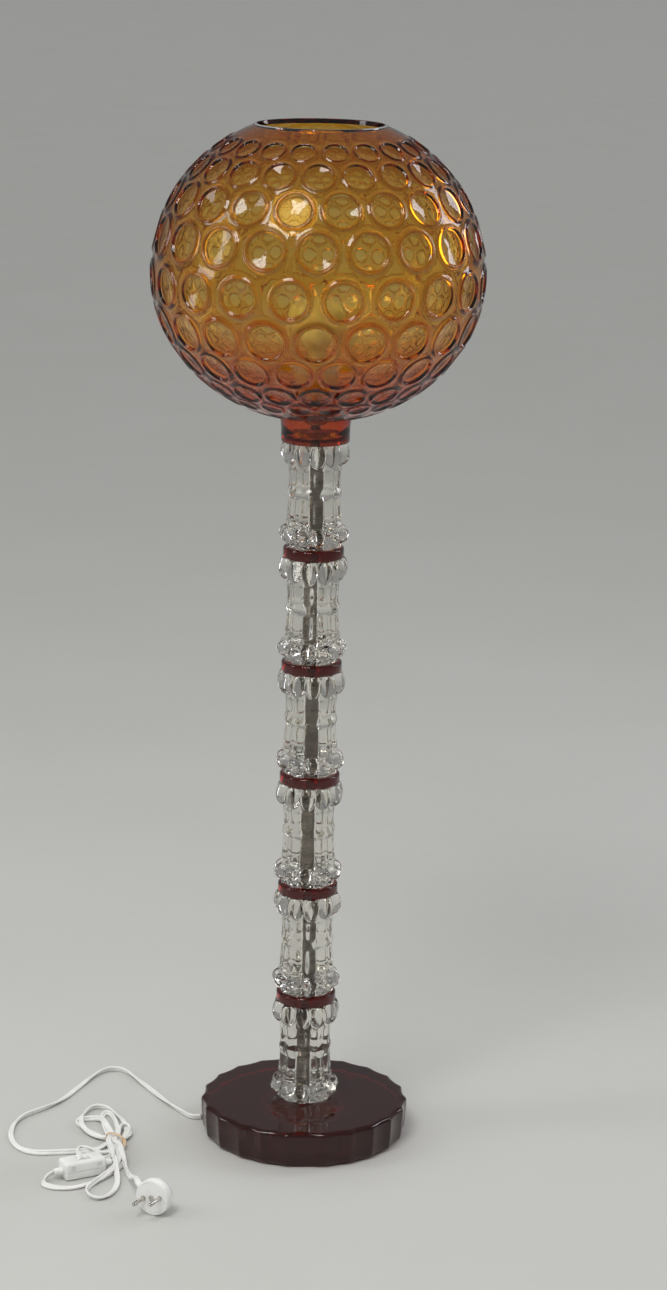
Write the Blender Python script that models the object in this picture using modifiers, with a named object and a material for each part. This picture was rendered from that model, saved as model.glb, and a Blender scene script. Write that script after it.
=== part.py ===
"""Glass floor lamp: dimpled globe shade on a stem of pressed glass segments and discs.

Frame: metres, +Z up, origin on the floor under the middle of the base, front along -Y.
The stem, shade and lampholder are clamped on one threaded tube along the Z axis.
"""
import math

import bmesh
import bpy
from mathutils import Matrix, Vector

# ---------------------------------------------------------------- driving dimensions
GAP = 0.0003                  # clearance between touching pieces
FLOOR_GAP = 0.0003            # clearance under what lies on the floor

BASE_RADIUS = 0.1065          # over the crests of the flutes
BASE_TOP = 0.0375             # height of the flat top of the base
FELT_THICKNESS = 0.0015
FLUTES = 22
FLUTE_TURN = math.radians(2.2)        # of the first ridge, from +X
FLUTE_DEPTH = 0.0036
BASE_TAPER = 0.978                    # the foot of the base over its top
WELL_RADIUS = 0.044           # hollow under the base that hides the nut
WELL_DEPTH = 0.0175
CHANNEL_ANGLE = math.radians(172.0)   # where the cord leaves the base, from +X
CHANNEL_WIDTH = 0.0092
CHANNEL_TOP = 0.0098
GLAND_START = 0.0800                  # distances from the axis along the channel
GLAND_LENGTH = 0.0270

TUBE_RADIUS = 0.0050          # M10 threaded tube
TUBE_BORE = 0.0036
TUBE_BOTTOM = 0.0120
BORE_RADIUS = 0.0056          # hole through every glass piece

SEGMENTS = 6
SEGMENT_HEIGHT = 0.1047
LOBES = 10
DISC_THICKNESS = 0.0107
DISC_RADIUS = 0.0302

SHADE_RADIUS = 0.1627
SHADE_WALL = 0.0042
SHADE_ABOVE = 0.955           # height of the upper half over its radius
SHADE_BELOW = 0.895           # depth of the lower half over its radius
SHADE_CENTRE = 0.8880
MOUTH_RADIUS = 0.0634
NECK_RADIUS = 0.0342
NECK_FLOOR = 0.0050

CORD_WIDTH = 0.0054           # flat twin cord, over its broad side
WIRE_DIAMETER = 0.0034        # the pair of cores inside the lamp

HOLDER_BOTTOM = 0.7405
HOLDER_RADIUS = 0.0205
BULB_SEAT = 0.7600            # underside of the bulb's cap
BULB_RADIUS = 0.0300
BULB_HEIGHT = 0.1050

HANK_HEIGHT = 0.0112
BAND_THICKNESS = 0.0014
TIE_CENTRE = (-0.1914, -0.0535)
TIE_ANGLE = math.radians(-28.0)       # across the bundle, from +X
TIE_WAIST = (0.0180, 0.0100)          # width across and length along the bundle

PLUG_CENTRE = (-0.1440, -0.2200)
PLUG_RADIUS = 0.0178
PLUG_FACE = (-0.47, -0.88)            # the way the pins point
PLUG_THICKNESS = 0.0150
PIN_SPACING = 0.0190
PIN_RADIUS = 0.0020
PIN_LENGTH = 0.0190
PIN_LINE_TILT = math.radians(12.0)
CORD_ENTRY_TILT = math.radians(70.0)  # round the rim from the top
CORD_ENTRY_WAY = (-0.645, 0.0, -0.763)    # the way the cord leaves, in the plug's own axes

SWITCH_CENTRE = (-0.2185, -0.1265)
SWITCH_ANGLE = math.radians(28.0)
SWITCH_SIZE = (0.0440, 0.0220, 0.0180)
SWITCH_SPLIT = 0.0085                 # height of the joint between its halves
ROCKER_RADIUS = 0.0062
ROCKER_HEIGHT = 0.0150                # height of the rocker's pivot
ROCKER_WIDTH = 0.0080
ROCKER_REST = math.radians(11.0)

# The cord's route on the floor (x, y), from the base to the bundle and from there to the plug.
LEAD_ROUTE = [
    (-0.1200, 0.0200), (-0.1369, 0.0440), (-0.1531, 0.0730), (-0.1684, 0.1000),
    (-0.1828, 0.1240), (-0.1947, 0.1405), (-0.2059, 0.1460), (-0.2173, 0.1405), (-0.2289, 0.1225),
    (-0.2396, 0.0970), (-0.2500, 0.0705), (-0.2606, 0.0490), (-0.2709, 0.0345), (-0.2803, 0.0235),
    (-0.2895, 0.0140), (-0.2965, 0.0000), (-0.3000, -0.0190), (-0.2984, -0.0430), (-0.2910, -0.0640),
    (-0.2806, -0.0765), (-0.2690, -0.0815), (-0.2562, -0.0810), (-0.2422, -0.0790),
    (-0.2300, -0.0770), (-0.2200, -0.0745), (-0.2090, -0.0690),
]
PLUG_ROUTE = [
    (-0.1862, -0.0660, 0.0050), (-0.1842, -0.0760, 0.0040), (-0.1813, -0.0900, 0.0032),
    (-0.1785, -0.1050, 0.0030), (-0.1755, -0.1190, 0.0033), (-0.1722, -0.1350, 0.0052),
    (-0.1690, -0.1500, 0.0090), (-0.1660, -0.1640, 0.0145), (-0.1634, -0.1760, 0.0200),
    (-0.1612, -0.1870, 0.0245),
]


# ---------------------------------------------------------------- scene and materials
def clear_scene():
    for item in list(bpy.data.objects):
        bpy.data.objects.remove(item, do_unlink=True)
    for group in list(bpy.data.collections):
        bpy.data.collections.remove(group)


def new_collection(name):
    group = bpy.data.collections.new(name)
    bpy.context.scene.collection.children.link(group)
    return group


def plain_material(name, colour, roughness, metallic=0.0, alpha=1.0):
    material = bpy.data.materials.new(name)
    material.use_nodes = True
    shader = material.node_tree.nodes["Principled BSDF"]
    shader.inputs["Base Color"].default_value = (*colour, 1.0)
    shader.inputs["Roughness"].default_value = roughness
    shader.inputs["Metallic"].default_value = metallic
    shader.inputs["Alpha"].default_value = alpha
    material.diffuse_color = (*colour, alpha)
    return material


LOOKS = {
    "amber_glass": ((0.42, 0.14, 0.01), 0.05, 0.0, 0.75),
    "oxblood_glass": ((0.10, 0.008, 0.004), 0.06, 0.0, 0.95),
    "clear_glass": ((0.85, 0.88, 0.86), 0.04, 0.0, 0.45),
    "opal_glass": ((0.92, 0.90, 0.85), 0.30, 0.0, 1.0),
    "zinc_steel": ((0.45, 0.44, 0.42), 0.35, 1.0, 1.0),
    "brass": ((0.62, 0.45, 0.18), 0.30, 1.0, 1.0),
    "nickel": ((0.62, 0.60, 0.57), 0.25, 1.0, 1.0),
    "aluminium": ((0.72, 0.72, 0.73), 0.35, 1.0, 1.0),
    "white_plastic": ((0.86, 0.86, 0.84), 0.35, 0.0, 1.0),
    "cream_bakelite": ((0.80, 0.77, 0.68), 0.30, 0.0, 1.0),
    "porcelain": ((0.88, 0.87, 0.84), 0.20, 0.0, 1.0),
    "white_cord": ((0.84, 0.84, 0.82), 0.45, 0.0, 1.0),
    "wire_insulation": ((0.30, 0.30, 0.32), 0.45, 0.0, 1.0),
    "felt": ((0.10, 0.06, 0.05), 0.95, 0.0, 1.0),
    "black_rubber": ((0.04, 0.04, 0.04), 0.75, 0.0, 1.0),
    "rubber_band": ((0.72, 0.55, 0.36), 0.60, 0.0, 1.0),
}


def finish_piece(piece, look, smooth_angle=40.0):
    colour, roughness, metallic, alpha = LOOKS[look]
    piece.data.materials.clear()
    piece.data.materials.append(plain_material(piece.name, colour, roughness, metallic, alpha))
    if piece.type == "MESH":
        piece.data.shade_smooth()
        piece.data.set_sharp_from_angle(angle=math.radians(smooth_angle))
    return piece


# ---------------------------------------------------------------- modelling helpers
def mesh_object(name, build, group):
    """A new object from a function that fills a bmesh."""
    shape = bmesh.new()
    build(shape)
    mesh = bpy.data.meshes.new(name)
    shape.to_mesh(mesh)
    shape.free()
    piece = bpy.data.objects.new(name, mesh)
    group.objects.link(piece)
    return piece


def turned(name, profile, steps, look, closed=True):
    """A turned solid from (radius, height) points, outer side first, top to bottom."""
    def build(shape):
        points = [shape.verts.new((radius, 0.0, height)) for radius, height in profile]
        ends = points[1:] + points[:1] if closed else points[1:]
        for start, end in zip(points, ends):
            shape.edges.new((start, end))

    piece = mesh_object(name, build, PARTS)
    screw = piece.modifiers.new("turn", "SCREW")
    screw.axis = "Z"
    screw.steps = steps
    screw.render_steps = steps
    screw.use_merge_vertices = True
    screw.merge_threshold = 0.00001
    return finish_piece(piece, look)


def ring(name, outer, inner, low, high, steps, look):
    profile = [(outer, high), (outer, low), (inner, low), (inner, high)]
    return turned(name, profile, steps, look)


def cylinder(name, radius, depth, centre, sides, group, top_radius=None):
    def build(shape):
        bmesh.ops.create_cone(shape, cap_ends=True, segments=sides, depth=depth, radius1=radius,
                              radius2=radius if top_radius is None else top_radius)

    piece = mesh_object(name, build, group)
    piece.location = centre
    return piece


def block(name, size, centre, group):
    def build(shape):
        bmesh.ops.create_cube(shape, size=1.0, matrix=Matrix.Diagonal((*size, 1.0)))

    piece = mesh_object(name, build, group)
    piece.location = centre
    return piece


def round_edges(piece, width, segments=2, angle=30.0):
    bevel = piece.modifiers.new("rounded edges", "BEVEL")
    bevel.width = width
    bevel.segments = segments
    bevel.limit_method = "ANGLE"
    bevel.angle_limit = math.radians(angle)


def cut(piece, cutter):
    cutter.hide_render = True
    cutter.display_type = "WIRE"
    boolean = piece.modifiers.new("cut " + cutter.name, "BOOLEAN")
    boolean.operation = "DIFFERENCE"
    boolean.solver = "EXACT"
    boolean.object = cutter


def round_rod(name, points, radius, look, resolution=2):
    """A cord or wire with closed ends through the given points."""
    curve = bpy.data.curves.new(name, "CURVE")
    curve.dimensions = "3D"
    curve.bevel_depth = radius
    curve.bevel_resolution = resolution
    curve.use_fill_caps = True
    spline = curve.splines.new("POLY")
    spline.points.add(len(points) - 1)
    for point, place in zip(spline.points, points):
        point.co = (*place, 1.0)
    piece = bpy.data.objects.new(name, curve)
    PARTS.objects.link(piece)
    return finish_piece(piece, look)


def smooth_route(points, spacing):
    """Points at an even spacing along one smooth curve through the route's own points."""
    places = [Vector(point) for point in points]
    ends = [2 * places[0] - places[1], *places, 2 * places[-1] - places[-2]]
    fine = []
    for index in range(1, len(ends) - 2):
        before, start, end, after = ends[index - 1:index + 3]
        for step in range(24):
            t = step / 24.0
            fine.append(0.5 * (2 * start + (end - before) * t
                               + (2 * before - 5 * start + 4 * end - after) * t ** 2
                               + (3 * start - before - 3 * end + after) * t ** 3))
    fine.append(places[-1])
    total = sum((b - a).length for a, b in zip(fine, fine[1:]))
    count = max(2, round(total / spacing))
    picked = [fine[0]]
    walked = 0.0
    for start, end in zip(fine, fine[1:]):
        walked += (end - start).length
        if walked >= total * len(picked) / count - 1e-9 and len(picked) < count:
            picked.append(end)
    picked.append(fine[-1])
    return picked


def empty(name, centre, rotation):
    holder = bpy.data.objects.new(name, None)
    holder.location = centre
    holder.rotation_euler = rotation.to_euler()
    PARTS.objects.link(holder)
    return holder


def along(angle, distance, height=0.0):
    return Vector((math.cos(angle) * distance, math.sin(angle) * distance, height))


# ---------------------------------------------------------------- base
def base_outline(angle):
    """Radius of the base: ridges with shallow hollow flutes between them."""
    across = abs(math.sin((angle - FLUTE_TURN) * FLUTES / 2.0))
    return BASE_RADIUS - FLUTE_DEPTH * across


def make_base():
    sides = FLUTES * 4
    bottom = FELT_THICKNESS + GAP
    height = BASE_TOP - bottom
    base = cylinder("base_glass", 1.0, height, (0.0, 0.0, bottom + height / 2), sides, PARTS)
    for vertex in base.data.vertices:
        angle = math.atan2(vertex.co.y, vertex.co.x) + FLUTE_TURN
        taper = 1.0 if vertex.co.z > 0 else BASE_TAPER
        radius = base_outline(angle) * taper
        vertex.co.x = math.cos(angle) * radius
        vertex.co.y = math.sin(angle) * radius
    round_edges(base, 0.0030, segments=2, angle=60.0)
    well = cylinder("cut_well", WELL_RADIUS, 2 * WELL_DEPTH, (0.0, 0.0, bottom), 32, CUTTERS)
    bore = cylinder("cut_base_bore", BORE_RADIUS, 0.1, (0.0, 0.0, 0.03), 16, CUTTERS)
    channel = block("cut_channel", (0.120, CHANNEL_WIDTH, 2 * CHANNEL_TOP),
                    along(CHANNEL_ANGLE, 0.060), CUTTERS)
    channel.rotation_euler.z = CHANNEL_ANGLE
    for cutter in (well, bore, channel):
        cut(base, cutter)
    finish_piece(base, "oxblood_glass")

    felt = ring("base_felt", 0.0985, 0.0500, 0.0, FELT_THICKNESS, 40, "felt")
    felt_slot = block("cut_felt_slot", (0.120, CHANNEL_WIDTH, 0.010),
                      along(CHANNEL_ANGLE, 0.060), CUTTERS)
    felt_slot.rotation_euler.z = CHANNEL_ANGLE
    cut(felt, felt_slot)

    roof = bottom + WELL_DEPTH
    ring("base_washer", 0.0150, TUBE_RADIUS + GAP, roof - GAP - 0.0015, roof - GAP, 24, "zinc_steel")
    nut_top = roof - 2 * GAP - 0.0015
    hex_nut("base_nut", nut_top - 0.0050, nut_top, "zinc_steel")


def hex_nut(name, low, high, look):
    nut = cylinder(name, 0.0098, high - low, (0.0, 0.0, (low + high) / 2), 6, PARTS)
    hole = cylinder("cut_" + name, TUBE_RADIUS + GAP, 0.02, (0.0, 0.0, (low + high) / 2), 16,
                    CUTTERS)
    cut(nut, hole)
    return finish_piece(nut, look)


def make_gland():
    """Rubber sleeve that holds the cord in the channel and ends just past the rim."""
    middle = along(CHANNEL_ANGLE, GLAND_START + GLAND_LENGTH / 2, CHANNEL_TOP / 2)
    gland = cylinder("cord_gland", 0.0043, GLAND_LENGTH, middle, 12, PARTS, top_radius=0.0034)
    gland.rotation_euler = (0.0, math.pi / 2, CHANNEL_ANGLE)
    return finish_piece(gland, "black_rubber")


# ---------------------------------------------------------------- stem
def segment_rings():
    """(height, crest radius, valley radius) up one glass segment, foot first."""
    return [
        (0.0000, 0.0290, 0.0262),
        (0.0060, 0.0318, 0.0275),
        (0.0110, 0.0362, 0.0280),
        (0.0165, 0.0360, 0.0272),
        (0.0220, 0.0290, 0.0262),
        (0.0370, 0.0258, 0.0246),
        (0.0520, 0.0262, 0.0240),
        (0.0700, 0.0258, 0.0246),
        (0.0830, 0.0292, 0.0262),
        (0.0930, 0.0358, 0.0280),
        (0.1000, 0.0350, 0.0280),
        (SEGMENT_HEIGHT, 0.0262, 0.0250),
    ]


def glass_segment(name, bottom):
    """A lofted column with ten lobes, bored through for the tube."""
    columns = LOBES * 2

    def circle(shape, height, crest, valley):
        row = []
        for column in range(columns):
            radius = valley if column % 2 else crest
            place = along(2 * math.pi * (column + 0.5) / columns, radius, height)
            row.append(shape.verts.new(place))
        return row

    def build(shape):
        rows = [circle(shape, *line) for line in segment_rings()]
        rows.append(circle(shape, SEGMENT_HEIGHT, BORE_RADIUS, BORE_RADIUS))
        rows.append(circle(shape, 0.0, BORE_RADIUS, BORE_RADIUS))
        for low, high in zip(rows, rows[1:] + rows[:1]):
            for column in range(columns):
                after = (column + 1) % columns
                shape.faces.new((low[column], low[after], high[after], high[column]))

    segment = mesh_object(name, build, PARTS)
    segment.location.z = bottom
    return finish_piece(segment, "clear_glass")


def spacer_disc(name, bottom):
    edge = 0.0012
    top = bottom + DISC_THICKNESS
    profile = [
        (DISC_RADIUS - edge, top), (DISC_RADIUS, top - edge), (DISC_RADIUS, bottom + edge),
        (DISC_RADIUS - edge, bottom), (BORE_RADIUS, bottom), (BORE_RADIUS, top),
    ]
    return turned(name, profile, 24, "oxblood_glass")


def make_stem():
    """Segments and discs from the base up; returns the height of the top."""
    level = BASE_TOP + GAP
    for number in range(SEGMENTS, 0, -1):
        glass_segment("stem_segment_%d" % number, level)
        level += SEGMENT_HEIGHT + GAP
        if number > 1:
            spacer_disc("spacer_disc_%d" % (number - 1), level)
            level += DISC_THICKNESS + GAP
    return level


# ---------------------------------------------------------------- shade
def make_shade(neck_bottom):
    """Blown globe with a ground mouth and a closed neck that the tube clamps."""
    def arc(radius_offset, start, end, count):
        radius = SHADE_RADIUS - radius_offset
        for step in range(count + 1):
            angle = start + (end - start) * step / count
            reach = SHADE_ABOVE if angle > 0 else SHADE_BELOW
            height = SHADE_CENTRE + math.sin(angle) * (SHADE_RADIUS * reach - radius_offset)
            yield radius * math.cos(angle), height

    mouth = math.acos(MOUTH_RADIUS / SHADE_RADIUS)
    throat = -math.acos(NECK_RADIUS / SHADE_RADIUS)
    inner_radius = SHADE_RADIUS - SHADE_WALL
    mouth_top = SHADE_CENTRE + math.sin(mouth) * SHADE_RADIUS * SHADE_ABOVE
    inner_lift = (mouth_top - SHADE_CENTRE) / (SHADE_RADIUS * SHADE_ABOVE - SHADE_WALL)
    inner_mouth = math.asin(inner_lift)
    inner_neck = NECK_RADIUS - SHADE_WALL
    inner_throat = -math.acos(inner_neck / inner_radius)
    outer = list(arc(0.0, mouth, throat, 15))
    inner = list(arc(SHADE_WALL, inner_throat, inner_mouth, 14))
    neck = [
        (NECK_RADIUS, neck_bottom + 0.0080), (NECK_RADIUS - 0.0008, neck_bottom),
        (BORE_RADIUS, neck_bottom), (BORE_RADIUS, neck_bottom + NECK_FLOOR),
        (inner_neck, neck_bottom + NECK_FLOOR),
    ]
    turned("shade_globe", outer + neck + inner, 40, "amber_glass")
    return mouth_top


def make_tube_and_nuts(neck_bottom):
    ring("stem_tube", TUBE_RADIUS, TUBE_BORE, TUBE_BOTTOM, HOLDER_BOTTOM + 0.0090, 16, "zinc_steel")
    seat = neck_bottom + NECK_FLOOR + GAP
    ring("neck_washer", 0.0160, TUBE_RADIUS + GAP, seat, seat + 0.0015, 24, "brass")
    nut_low = seat + 0.0015 + GAP
    hex_nut("neck_nut", nut_low, nut_low + 0.0045, "brass")


# ---------------------------------------------------------------- lampholder and bulb
def make_holder():
    low = HOLDER_BOTTOM
    outer = HOLDER_RADIUS
    wall = 0.0018
    split = low + 0.0185
    rim = low + 0.0500
    screw = TUBE_RADIUS + GAP
    turned("holder_cap", [
        (outer, split - GAP), (outer, low + 0.0100), (outer - 0.0060, low + 0.0030),
        (0.0090, low), (screw, low), (screw, low + 0.0095), (0.0100, low + 0.0095),
        (outer - wall, low + 0.0135), (outer - wall, split - GAP),
    ], 24, "cream_bakelite")
    turned("holder_skirt", [
        (outer - 0.0008, rim), (outer, rim - 0.0010), (outer, split), (outer - wall, split),
        (outer - wall, rim),
    ], 24, "cream_bakelite")
    insert = low + 0.0140
    turned("holder_insert", [
        (outer - wall - GAP, insert + 0.0040), (outer - wall - GAP, insert), (0.0034, insert),
        (0.0034, insert + 0.0040),
    ], 20, "porcelain")
    ring("holder_screw_shell", 0.0150, 0.0142, insert + 0.0040 + GAP, rim - 0.0030, 24, "nickel")
    block_low = insert + 0.0040 + GAP
    contact = block("holder_centre_contact", (0.0140, 0.0050, 0.0008),
                    (0.0, 0.0, block_low + 0.0004), PARTS)
    finish_piece(contact, "brass")
    for side, name in ((1, "holder_terminal_live"), (-1, "holder_terminal_neutral")):
        terminal = cylinder(name, 0.0022, 0.0020, (side * 0.0095, 0.0, insert - GAP - 0.0010), 12,
                            PARTS)
        finish_piece(terminal, "brass")


def make_bulb():
    seat = BULB_SEAT
    neck_top = seat + 0.0270
    turned("bulb_cap", [
        (0.0, neck_top), (0.0128, neck_top), (0.0134, neck_top - 0.0040), (0.0134, seat + 0.0090),
        (0.0110, seat + 0.0060), (0.0045, seat + 0.0010), (0.0045, seat), (0.0, seat),
    ], 20, "aluminium", closed=False)
    centre = seat + BULB_HEIGHT - BULB_RADIUS
    wall = 0.0010
    neck = neck_top + GAP
    flare = math.radians(-42.0)

    def envelope(radius, start, end, count):
        for step in range(count + 1):
            angle = start + (end - start) * step / count
            yield radius * math.cos(angle), centre + radius * math.sin(angle)

    crown = math.pi / 2
    outside = [(0.0, centre + BULB_RADIUS)] + list(envelope(BULB_RADIUS, crown - 0.22, flare, 9))
    inside = list(envelope(BULB_RADIUS - wall, flare, crown - 0.22, 9))
    inside.append((0.0, centre + BULB_RADIUS - wall))
    throat = [(0.0155, neck + 0.0120), (0.0140, neck), (0.0130, neck), (0.0145, neck + 0.0120)]
    turned("bulb_glass", outside + throat + inside, 24, "opal_glass", closed=False)


# ---------------------------------------------------------------- cord and what is on it
def make_inner_wire():
    """The pair of cores from the gland through the channel and up the tube."""
    level = 0.0052
    bend = 0.0140
    points = [along(CHANNEL_ANGLE, GLAND_START - GAP, level), along(CHANNEL_ANGLE, 0.0600, level)]
    points += [along(CHANNEL_ANGLE, 0.0400, level), along(CHANNEL_ANGLE, 0.0250, level - 0.0008)]
    for step in range(7):
        angle = math.pi / 2 * step / 6
        reach = bend * (1.0 - math.sin(angle))
        points.append(along(CHANNEL_ANGLE, reach, level - 0.0012 + bend * (1.0 - math.cos(angle))))
    points += [Vector((0.0, 0.0, 0.30)), Vector((0.0, 0.0, HOLDER_BOTTOM + 0.0095))]
    round_rod("inner_wires", points, WIRE_DIAMETER / 2, "wire_insulation", resolution=1)


def make_lead():
    height = CORD_WIDTH / 2 + FLOOR_GAP
    gland_end = GLAND_START + GLAND_LENGTH + 3 * GAP
    start = along(CHANNEL_ANGLE, gland_end, CHANNEL_TOP / 2)
    second = along(CHANNEL_ANGLE, gland_end + 0.0070, 0.0042)
    rest = [(x, y, height) for x, y in LEAD_ROUTE]
    points = smooth_route([start, second, *rest], 0.0125)
    round_rod("mains_cord", points, CORD_WIDTH / 2, "white_cord")


def flat_outline(name, points, low, high, look):
    """A closed solid with rounded ends, extruded from a flat outline."""
    curve = bpy.data.curves.new(name, "CURVE")
    curve.dimensions = "2D"
    curve.fill_mode = "BOTH"
    curve.extrude = (high - low) / 2
    curve.resolution_u = 2
    spline = curve.splines.new("BEZIER")
    spline.bezier_points.add(len(points) - 1)
    spline.use_cyclic_u = True
    for point, (x, y) in zip(spline.bezier_points, points):
        point.co = (x, y, 0.0)
        point.handle_left_type = "AUTO"
        point.handle_right_type = "AUTO"
    drawing = bpy.data.objects.new(name, curve)
    PARTS.objects.link(drawing)
    drawing.location.z = (low + high) / 2
    bpy.context.view_layer.update()
    evaluated = drawing.evaluated_get(bpy.context.evaluated_depsgraph_get())
    mesh = bpy.data.meshes.new_from_object(evaluated)
    shape = bmesh.new()
    shape.from_mesh(mesh)
    bmesh.ops.remove_doubles(shape, verts=shape.verts, dist=0.00001)
    bmesh.ops.recalc_face_normals(shape, faces=shape.faces)
    shape.to_mesh(mesh)
    shape.free()
    piece = bpy.data.objects.new(name + "_solid", mesh)
    piece.matrix_world = drawing.matrix_world
    PARTS.objects.link(piece)
    bpy.data.objects.remove(drawing, do_unlink=True)
    piece.name = name
    return finish_piece(piece, look)


def make_hank():
    """The loops above and below the rubber band, as the outer shape of the bundle."""
    low = FLOOR_GAP
    high = FLOOR_GAP + HANK_HEIGHT
    upper = [
        (-0.1990, -0.0450), (-0.2180, -0.0420), (-0.2350, -0.0200), (-0.2390, 0.0020),
        (-0.2290, 0.0330), (-0.2160, 0.0450), (-0.1990, 0.0380), (-0.1850, 0.0150),
        (-0.1750, -0.0150), (-0.1740, -0.0340), (-0.1820, -0.0440),
    ]
    lower = [
        (-0.1925, -0.0655), (-0.1893, -0.0760), (-0.1862, -0.0900), (-0.1830, -0.1050),
        (-0.1812, -0.1200), (-0.1806, -0.1400), (-0.1806, -0.1650), (-0.1860, -0.1850),
        (-0.1985, -0.1945), (-0.2110, -0.1860), (-0.2230, -0.1760), (-0.2345, -0.1690),
        (-0.2375, -0.1580), (-0.2290, -0.1505), (-0.2100, -0.1400), (-0.1930, -0.1310),
        (-0.1872, -0.1200), (-0.1872, -0.1070), (-0.1930, -0.1030), (-0.2080, -0.1020),
        (-0.2230, -0.1000), (-0.2295, -0.0910), (-0.2250, -0.0835), (-0.2100, -0.0790),
        (-0.1990, -0.0700),
    ]
    flat_outline("cord_loops_upper", upper, low, high, "white_cord")
    flat_outline("cord_loops_lower", lower, low, high, "white_cord")

    waist_low = FLOOR_GAP + BAND_THICKNESS + GAP
    waist_high = waist_low + 0.0080
    frame = empty("tie_frame", (*TIE_CENTRE, 0.0), Matrix.Rotation(TIE_ANGLE, 3, "Z"))
    waist = block("cord_waist", (TIE_WAIST[0], TIE_WAIST[1], waist_high - waist_low),
                  (0.0, 0.0, (waist_low + waist_high) / 2), PARTS)
    waist.parent = frame
    round_edges(waist, 0.0024)
    finish_piece(waist, "white_cord")

    band_width = 0.0060
    wide = TIE_WAIST[0] + 2 * (BAND_THICKNESS + GAP)
    tall = waist_high - waist_low + 2 * (BAND_THICKNESS + GAP)
    band = block("rubber_band", (wide, band_width, tall), (0.0, 0.0, (waist_low + waist_high) / 2),
                 PARTS)
    band.parent = frame
    round_edges(band, 0.0030)
    hole = block("cut_band", (TIE_WAIST[0] + 2 * GAP, 0.02, waist_high - waist_low + 2 * GAP),
                 (0.0, 0.0, (waist_low + waist_high) / 2), CUTTERS)
    hole.parent = frame
    round_edges(hole, 0.0022)
    cut(band, hole)
    finish_piece(band, "rubber_band")


def make_switch():
    """In-line switch: two housing halves and a rocker between two stops."""
    length, width, height = SWITCH_SIZE
    low = FLOOR_GAP
    turn = Matrix.Rotation(SWITCH_ANGLE, 3, "Z")
    frame = empty("switch_frame", (*SWITCH_CENTRE, low), turn)

    def half(name, bottom, top):
        piece = block(name, (length, width, top - bottom), (0.0, 0.0, (bottom + top) / 2), PARTS)
        piece.parent = frame
        round_edges(piece, 0.0024)
        return piece

    lower = half("switch_base", 0.0, SWITCH_SPLIT - GAP)
    upper = half("switch_cover", SWITCH_SPLIT, height)
    pocket = block("cut_rocker_pocket", (2 * ROCKER_RADIUS + 0.0012, ROCKER_WIDTH + 0.0008, 0.0200),
                   (0.0, 0.0, ROCKER_HEIGHT - ROCKER_RADIUS - 0.0003 + 0.0100), CUTTERS)
    pocket.parent = frame
    cut(upper, pocket)
    for piece in (lower, upper):
        finish_piece(piece, "white_plastic")

    pivot = empty("rocker_pivot", (0.0, 0.0, ROCKER_HEIGHT), Matrix.Rotation(ROCKER_REST, 3, "Y"))
    pivot.parent = frame

    def barrel(shape):
        """A short barrel whose top is two shallow facets meeting over the pivot."""
        bmesh.ops.create_cone(shape, cap_ends=True, segments=24, radius1=ROCKER_RADIUS,
                              radius2=ROCKER_RADIUS, depth=ROCKER_WIDTH,
                              matrix=Matrix.Rotation(math.pi / 2, 4, "X"))
        for vertex in shape.verts:
            facet = 0.0042 + 0.22 * abs(vertex.co.x)
            vertex.co.z = min(vertex.co.z, facet)

    rocker = mesh_object("switch_rocker", barrel, PARTS)
    rocker.parent = pivot
    finish_piece(rocker, "white_plastic", smooth_angle=25.0)

    for side, name in ((1, "switch_sleeve_right"), (-1, "switch_sleeve_left")):
        sleeve = cylinder(name, 0.0046, 0.0090, (side * (length / 2 + GAP + 0.0045), 0.0, 0.0075),
                          12, PARTS, top_radius=0.0036)
        sleeve.rotation_euler = (0.0, side * math.pi / 2, 0.0)
        sleeve.parent = frame
        finish_piece(sleeve, "white_plastic")


def plug_frame():
    """Local x across the face, y up, z along the pins."""
    facing = Vector((*PLUG_FACE, 0.0)).normalized()
    across = Vector((-facing.y, facing.x, 0.0))
    up = Vector((0.0, 0.0, 1.0))
    rotation = Matrix((across, up, facing)).transposed()
    return empty("plug_frame", (*PLUG_CENTRE, PLUG_RADIUS + FLOOR_GAP), rotation), rotation


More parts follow.
